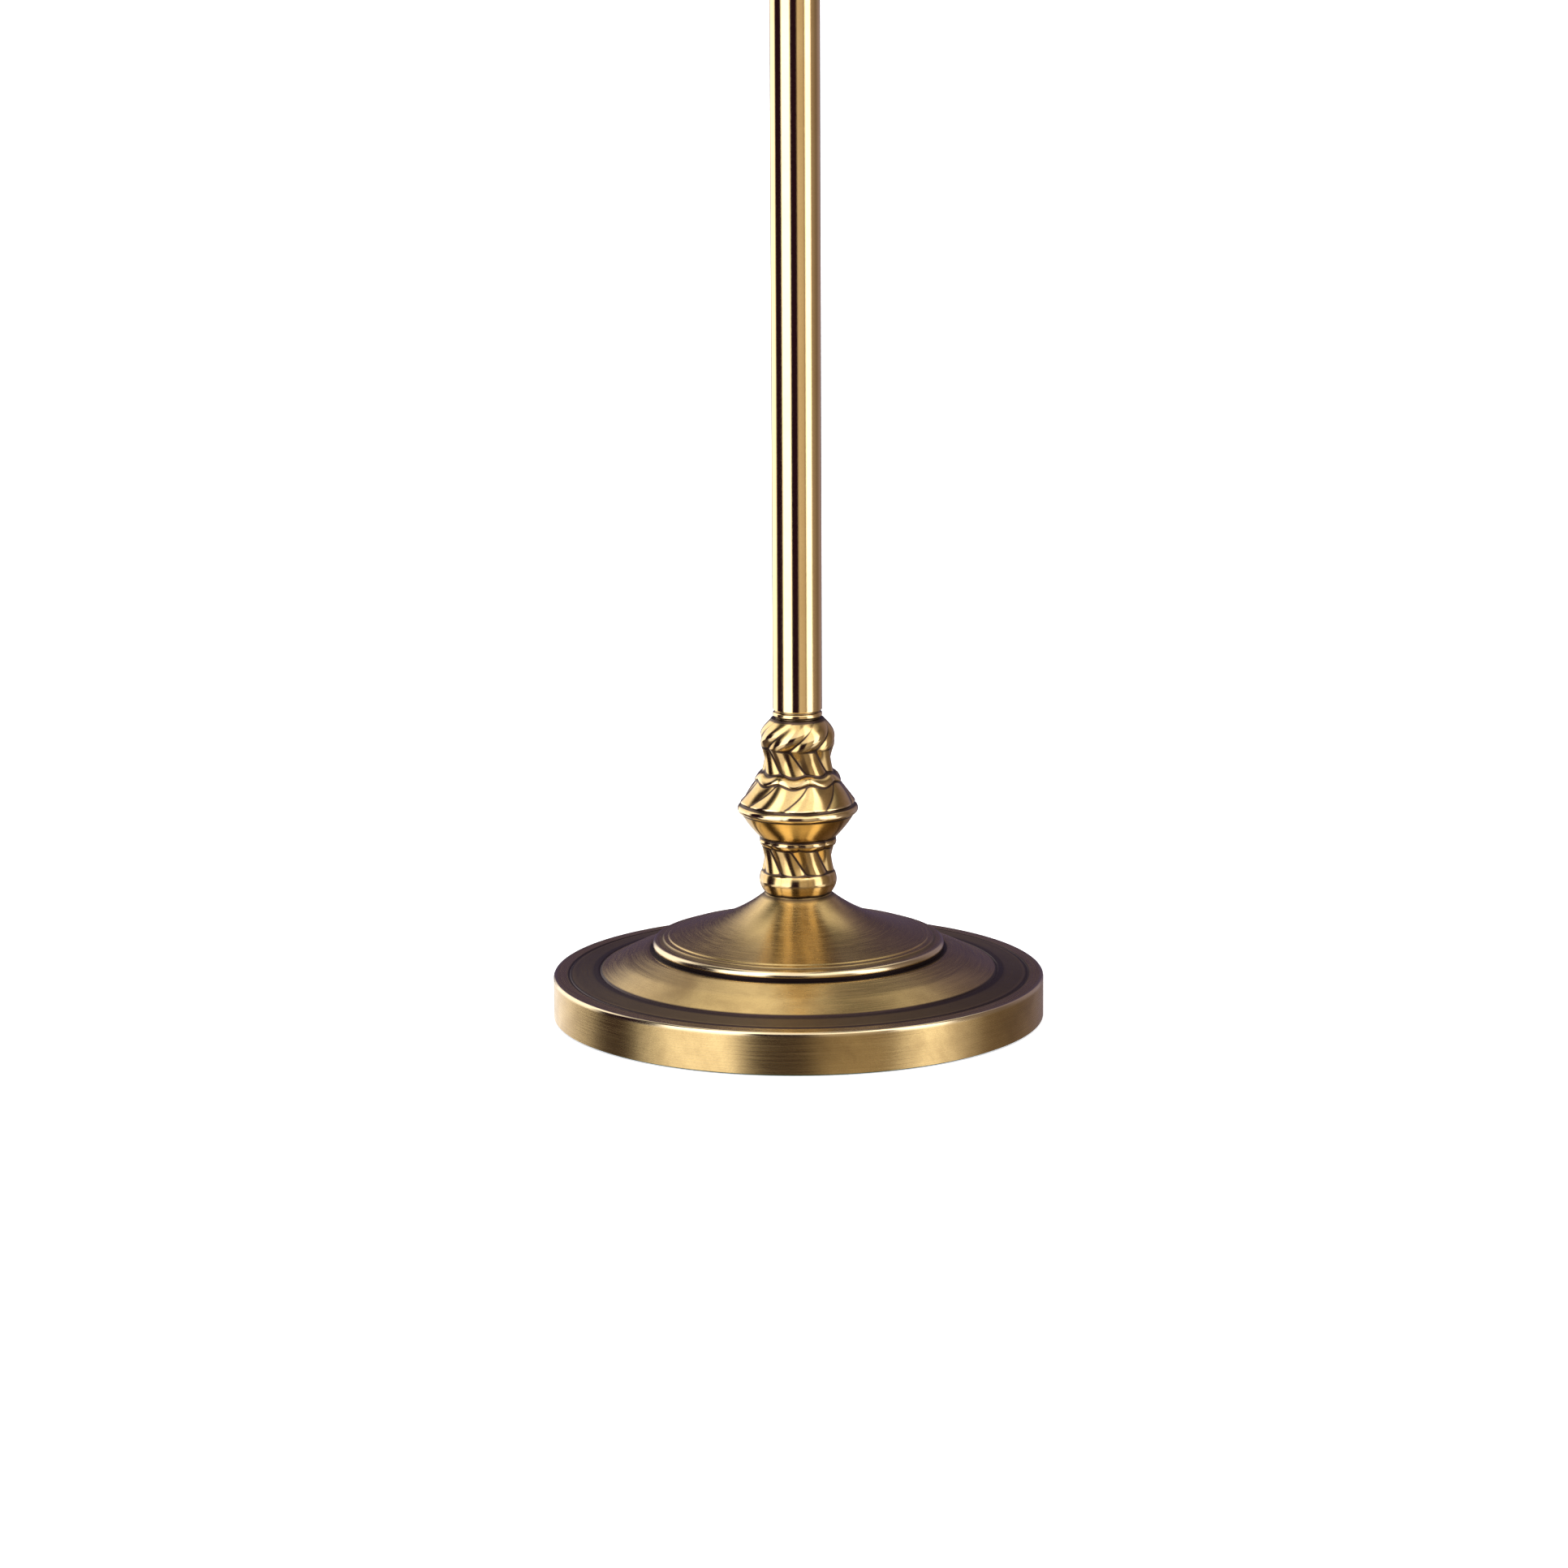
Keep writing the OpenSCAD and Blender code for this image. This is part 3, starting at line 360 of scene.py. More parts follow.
def pierced(piece, low, high, radius, count=48):
    """Cuts a round hole through a piece, from the point low to the point high."""
    low, high = np.asarray(low, float), np.asarray(high, float)
    axis = (high - low) / np.linalg.norm(high - low)
    side = np.cross(axis, (0.3, 0.5, 0.81))
    side /= np.linalg.norm(side)
    up = np.cross(axis, side)
    angle = full_circle(count)[:, None]
    edge = radius * (np.cos(angle) * side + np.sin(angle) * up)
    grid = np.stack([low + 0 * edge, low + edge, high + edge, high + 0 * edge])
    drill = skin("drill", grid)
    cut = piece.modifiers.new("hole", "BOOLEAN")
    cut.operation = "DIFFERENCE"
    cut.solver = "EXACT"
    cut.object = drill
    graph = bpy.context.evaluated_depsgraph_get()
    mesh = bpy.data.meshes.new_from_object(piece.evaluated_get(graph))
    piece.modifiers.clear()
    old = piece.data
    piece.data = mesh
    bpy.data.meshes.remove(old)
    bpy.data.objects.remove(drill)


bush_low, bush_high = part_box("cord_bush")
bush_z = (bush_low.z + bush_high.z) / 2
pierced(base_cover_piece, (0, COVER_R - 9 * MM, bush_z), (0, COVER_R + 9 * MM, bush_z), BUSH_HOLE)


def spread(tree, axis, centre):
    """The place on a turned piece as radius, height and angle: the piece's own axis is moved to the
    origin and stood upright, then radius is the length of x and y, and angle their arctangent."""
    upright = {"Z": (0, 0, 0), "X": (0, -math.pi / 2, 0), "Y": (math.pi / 2, 0, 0)}[axis]
    place = add(tree, "TexCoord").outputs["Object"]
    moved = add(tree, "Mapping", {0: place, "Location": tuple(-np.array(centre))}).outputs[0]
    stood = add(tree, "Mapping", {0: moved, "Rotation": upright}).outputs[0]
    part = add(tree, "SeparateXYZ", {0: stood}).outputs
    flat = add(tree, "CombineXYZ", {0: part[0], 1: part[1]}).outputs[0]
    radius = add(tree, "VectorMath", {0: flat}, operation="LENGTH").outputs["Value"]
    angle = add(tree, "Math", {0: part[1], 1: part[0]}, operation="ARCTAN2").outputs[0]
    return place, radius, part[2], angle


def times(tree, value, factor):
    """A number multiplied by another."""
    return add(tree, "Math", {0: value, 1: factor}, operation="MULTIPLY").outputs[0]


def tinted(tree, amount, low, high, mode="MIX"):
    """A mix of two colours by an amount."""
    return add(tree, "MixRGB", {"Fac": amount, "Color1": low, "Color2": high}, blend_type=mode).outputs[0]


def ranged(tree, value, start, end, low, high):
    """A number carried from one range to another and kept inside it."""
    return add(tree, "MapRange", {"Value": value, "From Min": start, "From Max": end,
                                  "To Min": low, "To Max": high}).outputs[0]


def brass(name, tone, brown, rough, axis="Z", centre=(0, 0, 0), brushing=1.0, drawn=False, patina=1.0,
          anisotropy=0.0):
    """Brass with a finish. Fine lines run round the axis, or along it on a drawn tube; clouds of patina brown
    it, hollows are darkened for patina and painted shade, and edges are lightened towards cream for wear and
    a painted highlight."""
    material = bpy.data.materials.new(name)
    material.use_nodes = True
    tree = material.node_tree
    shader = tree.nodes["Principled BSDF"]
    place, radius, height, angle = spread(tree, axis, centre)
    if drawn:
        across, along = times(tree, angle, 0.012), times(tree, height, 0.012)
    else:
        across, along = add(tree, "Math", {0: radius, 1: height}).outputs[0], times(tree, angle, 0.0016)
    other = add(tree, "Math", {0: radius, 1: height}, operation="SUBTRACT").outputs[0]
    lines_at = add(tree, "CombineXYZ", {0: across, 1: along, 2: times(tree, other, 0.3)}).outputs[0]
    lines = add(tree, "TexNoise", {"Vector": lines_at, "Scale": 1900.0, "Detail": 3.0,
                                   "Roughness": 0.65}).outputs[0]
    clouds = add(tree, "TexNoise", {"Vector": place, "Scale": 26.0, "Detail": 5.0,
                                    "Roughness": 0.6, "Distortion": 0.4}).outputs[0]
    specks = add(tree, "TexNoise", {"Vector": place, "Scale": 2200.0, "Detail": 2.0}).outputs[0]
    sunken = add(tree, "Attribute", attribute_name="hollow").outputs["Fac"]
    # Hollows darken for patina and painted shade; raised edges lighten for wear and a painted highlight.
    patina_and_shade = ranged(tree, sunken, 0.02, FULL_PATINA_AND_SHADE, 0.0, 0.9 * patina)
    wear_and_highlight = ranged(tree, sunken, -0.06, -0.22, 0.0, 0.75 * patina)
    cloudy = ranged(tree, clouds, 0.42, 0.7, 0.0, 0.6 * patina)
    speckled = ranged(tree, specks, 0.4, 0.8, 0.0, 0.3 * patina)
    # A near-black tone for patina and painted shade, and a cream tone for worn brass and a painted highlight.
    patina_and_shade_tone = (*(np.array(brown) * 0.06 + (0.024, 0.015, 0.026)), 1)
    wear_and_highlight_tone = (*(np.array(tone) * 0.65 + (0.34, 0.33, 0.30)), 1)
    colour = tinted(tree, cloudy, (*tone, 1), (*brown, 1))
    colour = tinted(tree, speckled, colour, (*np.array(brown) * 0.7, 1))
    streaks = ranged(tree, lines, 0.35, 0.65, 0.93, 1.04)
    grey = add(tree, "CombineColor", {0: streaks, 1: streaks, 2: streaks}).outputs[0]
    colour = tinted(tree, brushing, colour, grey, "MULTIPLY")
    colour = tinted(tree, patina_and_shade, colour, patina_and_shade_tone)
    colour = tinted(tree, wear_and_highlight, colour, wear_and_highlight_tone)
    tree.links.new(colour, shader.inputs["Base Color"])
    worn = add(tree, "Math", {0: ranged(tree, lines, 0.3, 0.7, rough - 0.05 * brushing,
                                        rough + 0.06 * brushing),
                              1: times(tree, cloudy, 0.12)}).outputs[0]
    stained = add(tree, "Math", {0: worn, 1: times(tree, patina_and_shade, 0.22)}).outputs[0]
    polished = add(tree, "Math", {0: stained, 1: times(tree, wear_and_highlight, -0.13)}, use_clamp=True).outputs[0]
    tree.links.new(polished, shader.inputs["Roughness"])
    relief = add(tree, "Math", {0: lines, 1: times(tree, clouds, 0.5)}).outputs[0]
    bump = add(tree, "Bump", {"Strength": 0.5 * brushing, "Distance": 0.00004, "Height": relief})
    tree.links.new(bump.outputs[0], shader.inputs["Normal"])
    shader.inputs["Metallic"].default_value = 1.0
    if anisotropy:
        shader.inputs["Anisotropic"].default_value = anisotropy
        shader.inputs["Anisotropic Rotation"].default_value = 0.25
        tangent = add(tree, "Tangent", direction_type="RADIAL", axis=axis)
        tree.links.new(tangent.outputs[0], shader.inputs["Tangent"])
    return material


ANTIQUE = (0.58, 0.43, 0.20)
ANTIQUE_BROWN = (0.29, 0.19, 0.085)


def dressed(piece, material, body, slot, *stands_for):
    """Gives a finished piece its material and its body, and hides the CAD nodes it stands for; the slot,
    which names its finish, is not used.
    """
    piece.data.materials.clear()
    piece.data.materials.append(material)
    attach(piece, body)
    if stands_for:
        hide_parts(*stands_for)


spun_brass = brass("spun_antique_brass", ANTIQUE, ANTIQUE_BROWN, 0.23, patina=1.1, anisotropy=0.5)
dressed(base_cover_piece, spun_brass, "base", "antique_brass", "base_cover")


# Under the cover: a cast iron weight, a felt foot, and the rod, nut and washer that pull the whole
# foot together. They are seen only from below or through the bush.
def plain(name, tone, second, rough, metal=0.0, grain=300.0, depth=0.0001, spots=0.5, detail=4.0):
    """A finish of two tones mixed by noise of one grain, which also moves its roughness and relief."""
    material = bpy.data.materials.new(name)
    material.use_nodes = True
    tree = material.node_tree
    shader = tree.nodes["Principled BSDF"]
    place = add(tree, "TexCoord").outputs["Object"]
    noise = add(tree, "TexNoise", {"Vector": place, "Scale": grain, "Detail": detail,
                                   "Roughness": 0.6}).outputs[0]
    broad = add(tree, "TexNoise", {"Vector": place, "Scale": grain * 0.08, "Detail": 3.0}).outputs[0]
    mixed = add(tree, "Math", {0: noise, 1: broad}).outputs[0]
    amount = ranged(tree, mixed, 1.0 - spots * 0.5, 1.0 + spots * 0.5, 0.0, 1.0)
    tree.links.new(tinted(tree, amount, (*tone, 1), (*second, 1)), shader.inputs["Base Color"])
    tree.links.new(ranged(tree, mixed, 0.7, 1.3, rough - 0.07, rough + 0.07), shader.inputs["Roughness"])
    bump = add(tree, "Bump", {"Strength": 0.6, "Distance": depth, "Height": noise})
    tree.links.new(bump.outputs[0], shader.inputs["Normal"])
    shader.inputs["Metallic"].default_value = metal
    return material


def finish(material, *names):
    """Gives CAD nodes that stay in view a material in each of their slots."""
    for name in names:
        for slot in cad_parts[name].material_slots:
            slot.material = material


iron = plain("cast_iron", (0.045, 0.043, 0.043), (0.10, 0.085, 0.075), 0.62, 0.6, 420.0, 0.0004)
felt = plain("green_felt", (0.030, 0.075, 0.040), (0.055, 0.12, 0.065), 0.95, 0.0, 1500.0, 0.0003)
steel = plain("zinced_steel", (0.56, 0.57, 0.60), (0.42, 0.43, 0.46), 0.32, 1.0, 700.0, 0.00003)
insulation = plain("fawn_flex", (0.50, 0.40, 0.22), (0.42, 0.33, 0.18), 0.5, 0.0, 500.0, 0.00005)
finish(iron, "base_weight")
finish(felt, "base_felt")
finish(steel, "base_spacer", "base_washer", "base_nut", "centre_rod", "tube_plug")
finish(insulation, "base_flex")


# Cord bush: a moulded black plastic ring with a rounded lip, pressed into the rim at the back to keep
# the flex off the edge of the sheet.
BUSH_BORE = 3.5 * MM
BUSH_R = BUSH_BORE + 2 * MM
BUSH_LIP = BUSH_R + 1.8 * MM
FACING_BACK = np.array([(1, 0, 0), (0, 0, 1), (0, -1, 0)])
black = plain("black_plastic", (0.014, 0.013, 0.013), (0.022, 0.021, 0.02), 0.34, 0.0, 900.0, 0.00003)
bush_line = eased([
    (BUSH_BORE, 4 * MM), (BUSH_BORE, 8 * MM), (BUSH_R, 8 * MM), (BUSH_R, 2 * MM), (BUSH_LIP, 2 * MM),
    (BUSH_LIP, 0), (BUSH_BORE, 0), (BUSH_BORE, 4 * MM)], 0.7 * MM)[::-1]
bush_skin = turned(bush_line[:-1], 72) @ FACING_BACK + (0, bush_high.y, bush_z)
dressed(skin("cord_bush_moulded", bush_skin, loop=True), black, "base", "black_plastic", "cord_bush")


# Spindle: a lost-wax brass casting, turned where it is plain, with eight lobes that swing one way and
# then the other. Each stretch has its share of the height, its radii and bulge as shares of the step
# from neck to knop, its share of the lobes' depth, and where its lobes swing from and to. The ridge
# above the cone waves with the lobes.
spindle_low, spindle_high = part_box("spindle")
KNOP_R = 31 * MM
NECK_R = 18 * MM
LOBES = 8
LOBE_DEPTH = 1.5 * MM
SWING = math.radians(31)
FIRST_LOBE = math.radians(23.5) - SWING / 2
SOFTNESS = 0.28 * MM
SPINDLE_BORE = 5.2 * MM
COLUMNS = 384
STRETCHES = [
    (11.0, -0.05, 0.09, 0.13, 0.25, 1.0, 1.0), (14.3, 0.06, 0.07, -0.06, 1.00, 1.0, 0.0),
    (4.4, 0.12, 0.13, 0.06, 0.60, 0.5, 0.5), (12.4, 0.15, 0.88, 0.05, 0.00, 0.5, 0.0),
    (4.2, 0.96, 0.95, 0.06, 0.20, 0.0, 0.0), (1.4, 0.87, 0.87, -0.02, 0.30, 0.0, 0.0),
    (11.7, 0.92, 0.28, 0.00, 0.80, 0.0, 1.0), (4.0, 0.34, 0.12, 0.05, 0.50, 1.0, 1.0),
    (13.5, 0.05, 0.06, -0.07, 1.00, 1.0, 0.0), (14.6, 0.07, -0.34, 0.22, 1.00, 0.0, 1.7)]


def fluted(levels, columns, soften):
    """The lobed surface. At a height, t runs from 0 to 1 through its stretch. The radius is the neck
    plus the step times (first + (last - first) t + bulge sin(pi t)), less the lobes' depth times
    1 - |cos(half the lobes times (angle - swing))|, then softened up and down by a bell curve."""
    table = np.array(STRETCHES)
    ends = np.cumsum(table[:, 0]) / table[:, 0].sum()
    starts = np.concatenate([[0], ends[:-1]])
    height = np.linspace(0, 1, levels)
    which = np.minimum(np.searchsorted(ends, height, side="left"), len(table) - 1)
    row = table[which]
    t = (height - starts[which]) / (ends[which] - starts[which])
    radius = NECK_R + (KNOP_R - NECK_R) * (row[:, 1] + (row[:, 2] - row[:, 1]) * t
                                           + row[:, 3] * np.sin(np.pi * t))
    fading = np.where(which == len(table) - 1, 1 - t ** 2, 1)
    angle = full_circle(columns)
    phase = FIRST_LOBE + SWING * (row[:, 5] + (row[:, 6] - row[:, 5]) * t)
    valley = 1 - np.abs(np.cos(LOBES / 2 * (angle[None, :] - phase[:, None])))
    surface = radius[:, None] - LOBE_DEPTH * (row[:, 4] * fading)[:, None] * valley
    spacing = (spindle_high.z - spindle_low.z) / (levels - 1)
    window = 8
    span = np.arange(-window, window + 1)
    bell = np.exp(-0.5 * (span * spacing / soften) ** 2)
    bell /= bell.sum()
    padded = np.pad(surface, ((window, window), (0, 0)), mode="edge")
    soft = sum(weight * padded[window + k:window + k + levels] for k, weight in zip(span, bell))
    z = (spindle_low.z + (spindle_high.z - spindle_low.z) * height)[:, None]
    return np.stack([soft * np.cos(angle), soft * np.sin(angle), z + 0 * angle], axis=2)


level_wall = fluted(210, COLUMNS, SOFTNESS)
RIDGE_PLACE = 0.655
RIDGE_Z = spindle_low.z + RIDGE_PLACE * (spindle_high.z - spindle_low.z)
RIDGE_SPAN = 5.5 * MM
RIDGE_WAVE = 0.9 * MM
ridge_bell = np.exp(-((level_wall[:, :, 2] - RIDGE_Z) / RIDGE_SPAN) ** 2)
wall_angle = np.arctan2(level_wall[:, :, 1], level_wall[:, :, 0])
spindle_wall = level_wall.copy()
spindle_wall[:, :, 2] -= RIDGE_WAVE * ridge_bell * np.cos(LOBES * (wall_angle - FIRST_LOBE - SWING))
# Patina and painted shade in the spindle's valleys and at the foot of each stretch: the width of each crease
# line, the valleys' share, and each crease's strength.
CREASE_WIDTH = 1.1 * MM
VALLEY_PATINA_AND_SHADE = 1.5
CREASES = [1.4, 0.9, 1.1, 1.5, 1.0, 1.5, 1.0, 1.0, 1.1, 1.2, 1.5]


def creased(points, width):
    """Patina that buffing leaves in the creases, and painted shade there: a bell of the given width up and
    down from the foot of each stretch, and from the top of the last, times its strength; the strongest
    counts."""
    lengths = np.array(STRETCHES)[:, 0]
    place = np.concatenate([[0], np.cumsum(lengths)]) / lengths.sum()
    place = spindle_low.z + (spindle_high.z - spindle_low.z) * place
    bells = np.exp(-((points[:, :, 2:] - place) / width) ** 2)
    return (np.array(CREASES) * FULL_PATINA_AND_SHADE * bells).max(axis=2)


spindle_dark = sunk(spindle_wall, 1.1 * MM, 4) * VALLEY_PATINA_AND_SHADE + creased(level_wall, CREASE_WIDTH)
bore = turned(np.array([(SPINDLE_BORE, spindle_high.z), (SPINDLE_BORE, spindle_low.z)]), COLUMNS)
cast_skin = np.concatenate([spindle_wall, bore])
cast_dark = np.concatenate([spindle_dark, np.zeros((2, COLUMNS))])
cast_brass = brass("cast_brass", (0.70, 0.52, 0.245), (0.36, 0.215, 0.08), 0.13, brushing=0.25, patina=1.05)
dressed(skin("spindle_cast", cast_skin, loop=True, crease=50, hollow=cast_dark), cast_brass, "base",
        "antique_brass", "spindle")


# Seat ring: a turned and polished brass washer with a raised band between two grooves. It is held
# between the spindle and the foot of the tube by the rod that runs through it.
ring_low, ring_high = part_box("seat_ring")
RING_R = ring_high.x
ring_h = ring_high.z - ring_low.z
ring_foot, ring_top = ring_low.z, ring_high.z
ring_line = eased([
    (ROD_HOLE, ring_foot), (RING_R - 1.2 * MM, ring_foot), (RING_R - 1.2 * MM, ring_foot + 0.22 * ring_h),
    (RING_R - 0.3 * MM, ring_foot + 0.28 * ring_h), (RING_R, ring_foot + 0.36 * ring_h),
    (RING_R, ring_foot + 0.66 * ring_h), (RING_R - 0.3 * MM, ring_foot + 0.74 * ring_h),
    (RING_R - 1 * MM, ring_foot + 0.8 * ring_h), (RING_R - 1 * MM, ring_top), (ROD_HOLE, ring_top)], 0.3 * MM)
ring_skin = turned(dense(ring_line, 0.4 * MM), 160)
ring_out = np.hypot(ring_skin[:, :, 0], ring_skin[:, :, 1])
in_groove = np.clip((RING_R - 0.25 * MM - ring_out) / (0.6 * MM), 0, 1)
# Patina in the ring's grooves, and painted shade there.
GROOVE_PATINA_AND_SHADE = 0.2
POLISHED = (0.86, 0.67, 0.37)
POLISHED_BROWN = (0.62, 0.40, 0.17)
ring_brass = brass("ring_brass", POLISHED, POLISHED_BROWN, 0.12, brushing=0.4, patina=0.8)
dressed(skin("seat_ring_turned", ring_skin, loop=True, hollow=GROOVE_PATINA_AND_SHADE * in_groove), ring_brass,
        "base", "polished_brass", "seat_ring")


# Fixed tube: drawn brass, polished along its length and lacquered, with rolled edges at both ends.
def piped(low, high, radius, wall, count=160, rows=60):
    """A tube's closed outline carried round Z: up the outside, over the lip, down the inside."""
    lip = 0.35 * MM
    outer = np.linspace(low + lip, high - lip, rows)
    line = np.concatenate([
        np.stack([np.full(rows, radius), outer], axis=1), [(radius - lip, high)],
        [(radius - wall, high)], [(radius - wall, low)], [(radius - lip, low)]])
    return turned(line, count)


tube_low, tube_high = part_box("outer_tube")
TUBE_R = tube_high.x
TUBE_WALL = 1.2 * MM
tube_brass = brass("drawn_brass", POLISHED, POLISHED_BROWN, 0.085, brushing=0.35, drawn=True, patina=0.35)
dressed(skin("outer_tube_drawn", piped(tube_low.z, tube_high.z, TUBE_R, TUBE_WALL), loop=True), tube_brass,
        "base", "polished_brass", "outer_tube")
nylon = plain("nylon", (0.80, 0.77, 0.68), (0.72, 0.69, 0.60), 0.45, 0.0, 400.0, 0.00003)
finish(nylon, "guide_upper")


# Clamp: a turned collar with a side boss is fixed on the tube's mouth, and a knurled thumb screw
# through the boss presses a soft brass pad on the mast to hold its height.
collar_low, collar_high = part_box("clamp_collar")
knob_low, knob_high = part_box("clamp_knob")
COLLAR_R = collar_high.x
MAST_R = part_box("inner_tube")[1].x
BOSS_R = 6 * MM
SCREW_R = 2.5 * MM
LIP_H = 5 * MM
screw_z = (knob_low.z + knob_high.z) / 2
collar_foot = collar_low.z
mouth = collar_high.z - LIP_H
collar_line = np.concatenate([
    [(TUBE_R, collar_foot), (TUBE_R + 1.4 * MM, collar_foot), (TUBE_R + 1.8 * MM, collar_foot + 2 * MM)],
    arc((COLLAR_R - 1.5 * MM, collar_foot + 6.6 * MM), 1.5 * MM, -80, 0),
    arc((COLLAR_R - 1.5 * MM, mouth - 1.5 * MM), 1.5 * MM, 0, 80),
    [(COLLAR_R - 3 * MM, mouth + 0.8 * MM)],
    arc((COLLAR_R - 5.4 * MM, mouth + 2.2 * MM), 2.4 * MM, -20, 85),
    [(MAST_R + 0.4 * MM, collar_high.z), (MAST_R + 0.4 * MM, mouth), (TUBE_R, mouth)]])
collar_skin = turned(dense(collar_line, 0.6 * MM), 180)
collar_brass = brass("collar_brass", ANTIQUE, ANTIQUE_BROWN, 0.2, brushing=0.8)
dressed(skin("clamp_collar_turned", collar_skin, loop=True, hollow=sunk(collar_skin, 1.2 * MM, 2)),
        collar_brass, "base", "antique_brass", "clamp_collar")

FACING_LEFT = np.array([(0, 0, 1), (0, 1, 0), (-1, 0, 0)])
boss_l = -collar_low.x
boss_line = eased([(SCREW_R, TUBE_R + 1 * MM), (BOSS_R, TUBE_R + 1 * MM), (BOSS_R, boss_l - 2.6 * MM),
                   (BOSS_R - 0.7 * MM, boss_l - 2 * MM), (BOSS_R - 0.3 * MM, boss_l - 1.4 * MM),
                   (BOSS_R - 0.3 * MM, boss_l), (SCREW_R, boss_l)], 0.5 * MM)
boss_skin = turned(dense(boss_line, 0.5 * MM), 96)
boss_dark = sunk(boss_skin, 0.9 * MM, 2)
boss_brass = brass("boss_brass", ANTIQUE, ANTIQUE_BROWN, 0.2, "X", (0, 0, screw_z), brushing=0.8)
dressed(skin("clamp_boss", boss_skin @ FACING_LEFT + (0, 0, screw_z), loop=True, hollow=boss_dark),
        boss_brass, "base", "antique_brass")


def knurled(radius, length, bore, grooves=16, columns=22):
    """A finger knob round Z. Its outline is turned, then each of its grooves cuts it back to the near
    side of a round cutter, whose edge at an angle off the groove is its centre times the cosine less
    the root of its radius squared less its centre times the sine, squared."""
    line = dense(np.concatenate([
        eased([(bore, 0), (radius * 0.55, 0), (radius * 0.55, 2 * MM), (radius - 0.4 * MM, 2 * MM),
               (radius, 2.8 * MM), (radius, length - 3 * MM)], 0.5 * MM),
        arc((radius - 2 * MM, length - 3 * MM), 2 * MM, 8, 80),
        eased([(radius * 0.72, length - 0.85 * MM), (radius * 0.66, length - 1.15 * MM),
               (radius * 0.6, length - 0.75 * MM), (0, length)], 0.6 * MM)]), 0.5 * MM)
    points = turned(line, grooves * columns)
    angle = full_circle(grooves * columns)
    pitch = 2 * np.pi / grooves
    off = (angle + pitch / 2) % pitch - pitch / 2
    centre, cutter = radius + 0.7 * MM, 1.5 * MM
    inside = cutter ** 2 - (centre * np.sin(off)) ** 2
    edge = centre * np.cos(off) - np.sqrt(np.maximum(inside, 0))
    depth = np.where(inside > 0, np.maximum(radius - edge, 0), 0)
    height = points[:, :, 2]
    rise = np.clip((height - 1.6 * MM) / (1.4 * MM), 0, 1)
    fall = np.clip((length - 1.2 * MM - height) / (1.6 * MM), 0, 1)
    share = (rise * fall) ** 2 * (3 - 2 * rise * fall)
    reach = np.hypot(points[:, :, 0], points[:, :, 1])
    cut = np.minimum(reach, radius - depth * share) / np.maximum(reach, 1e-9)
    points[:, :, :2] *= cut[:, :, None]
    return points


knob_skin = knurled(knob_high.y, knob_high.x - knob_low.x, SCREW_R)
knob_dark = sunk(knob_skin, 0.8 * MM, 3)
knob_brass = brass("knob_brass", ANTIQUE, ANTIQUE_BROWN, 0.2, "X", (0, 0, screw_z), brushing=0.7)
dressed(skin("clamp_knob_knurled", knob_skin @ FACING_LEFT + (knob_high.x, 0, screw_z), hollow=knob_dark),
        knob_brass, "clamp", "antique_brass", "clamp_knob")
finish(steel, "clamp_screw")
finish(ring_brass, "clamp_pad")


# Mast: a thinner polished tube that slides in the fixed one on nylon guides, closed at the top by a
# turned swivel base that is brazed in and carries the stud.
mast_low, mast_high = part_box("inner_tube")
MAST_WALL = 1 * MM
mast_brass = brass("mast_brass", POLISHED, POLISHED_BROWN, 0.08, brushing=0.3, drawn=True, patina=0.3)
dressed(skin("inner_tube_drawn", piped(mast_low.z, mast_high.z, MAST_R, MAST_WALL), loop=True), mast_brass,
        "mast", "polished_brass", "inner_tube")
swivel_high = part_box("swivel_base")[1]
SWIVEL_R = swivel_high.x
STUD_R = 4.9 * MM
top = swivel_high.z
swivel_line = np.concatenate([
    [(STUD_R, mast_high.z), (MAST_R + 0.8 * MM, mast_high.z)],
    arc((MAST_R + 0.2 * MM, mast_high.z + 2 * MM), 2 * MM, -60, 60),
    [(MAST_R - 0.2 * MM, mast_high.z + 4.6 * MM), (MAST_R, mast_high.z + 6 * MM)],
    arc((SWIVEL_R - 2 * MM, top - 3.5 * MM), 2 * MM, -60, 0),
    eased([(SWIVEL_R, top - 3.4 * MM), (SWIVEL_R, top - 0.8 * MM), (SWIVEL_R - 0.8 * MM, top),
           (STUD_R, top)], 0.3 * MM)])
swivel_skin = turned(dense(swivel_line, 0.5 * MM), 160)
dressed(skin("swivel_base_turned", swivel_skin, loop=True, hollow=sunk(swivel_skin, 1.0 * MM, 2)),
        collar_brass, "mast", "antique_brass", "swivel_base")
finish(steel, "swivel_stud", "swivel_washer", "swivel_nut", "stop_pin", "guide_rivets")
finish(nylon, "guide_lower")
finish(insulation, "mast_flex", "arm_flex")


# Head: a forked casting that turns on the stud, with a well for the nut between two round-topped
# ears. A steel bolt with a plain round head runs through them to the tilt knob.
head_low, head_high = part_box("swivel_head")
tilt_low, tilt_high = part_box("tilt_knob")
EYE_R = 9 * MM
EAR_OUT = 10.9 * MM
EAR_T = 4.6 * MM
WELL_R = 8.4 * MM
FLOOR_T = 9 * MM
WELL_H = 6 * MM
face = head_low.z
tilt_z = head_high.z - EYE_R
shoulder = face + FLOOR_T + WELL_H
foot_r = EAR_OUT - 0.15 * MM
foot_line = np.concatenate([
    [(STUD_R, face), (SWIVEL_R - 0.8 * MM, face), (SWIVEL_R, face + 0.8 * MM)],
    arc((SWIVEL_R - 1.6 * MM, face + 3.4 * MM), 1.6 * MM, 0, 80),
    eased([(SWIVEL_R - 1.3 * MM, face + 5.2 * MM), (foot_r, face + 6.4 * MM), (foot_r, shoulder),
           (WELL_R, shoulder), (WELL_R, face + FLOOR_T), (STUD_R, face + FLOOR_T)], 0.7 * MM)])
foot_skin = turned(dense(foot_line, 0.6 * MM), 160)
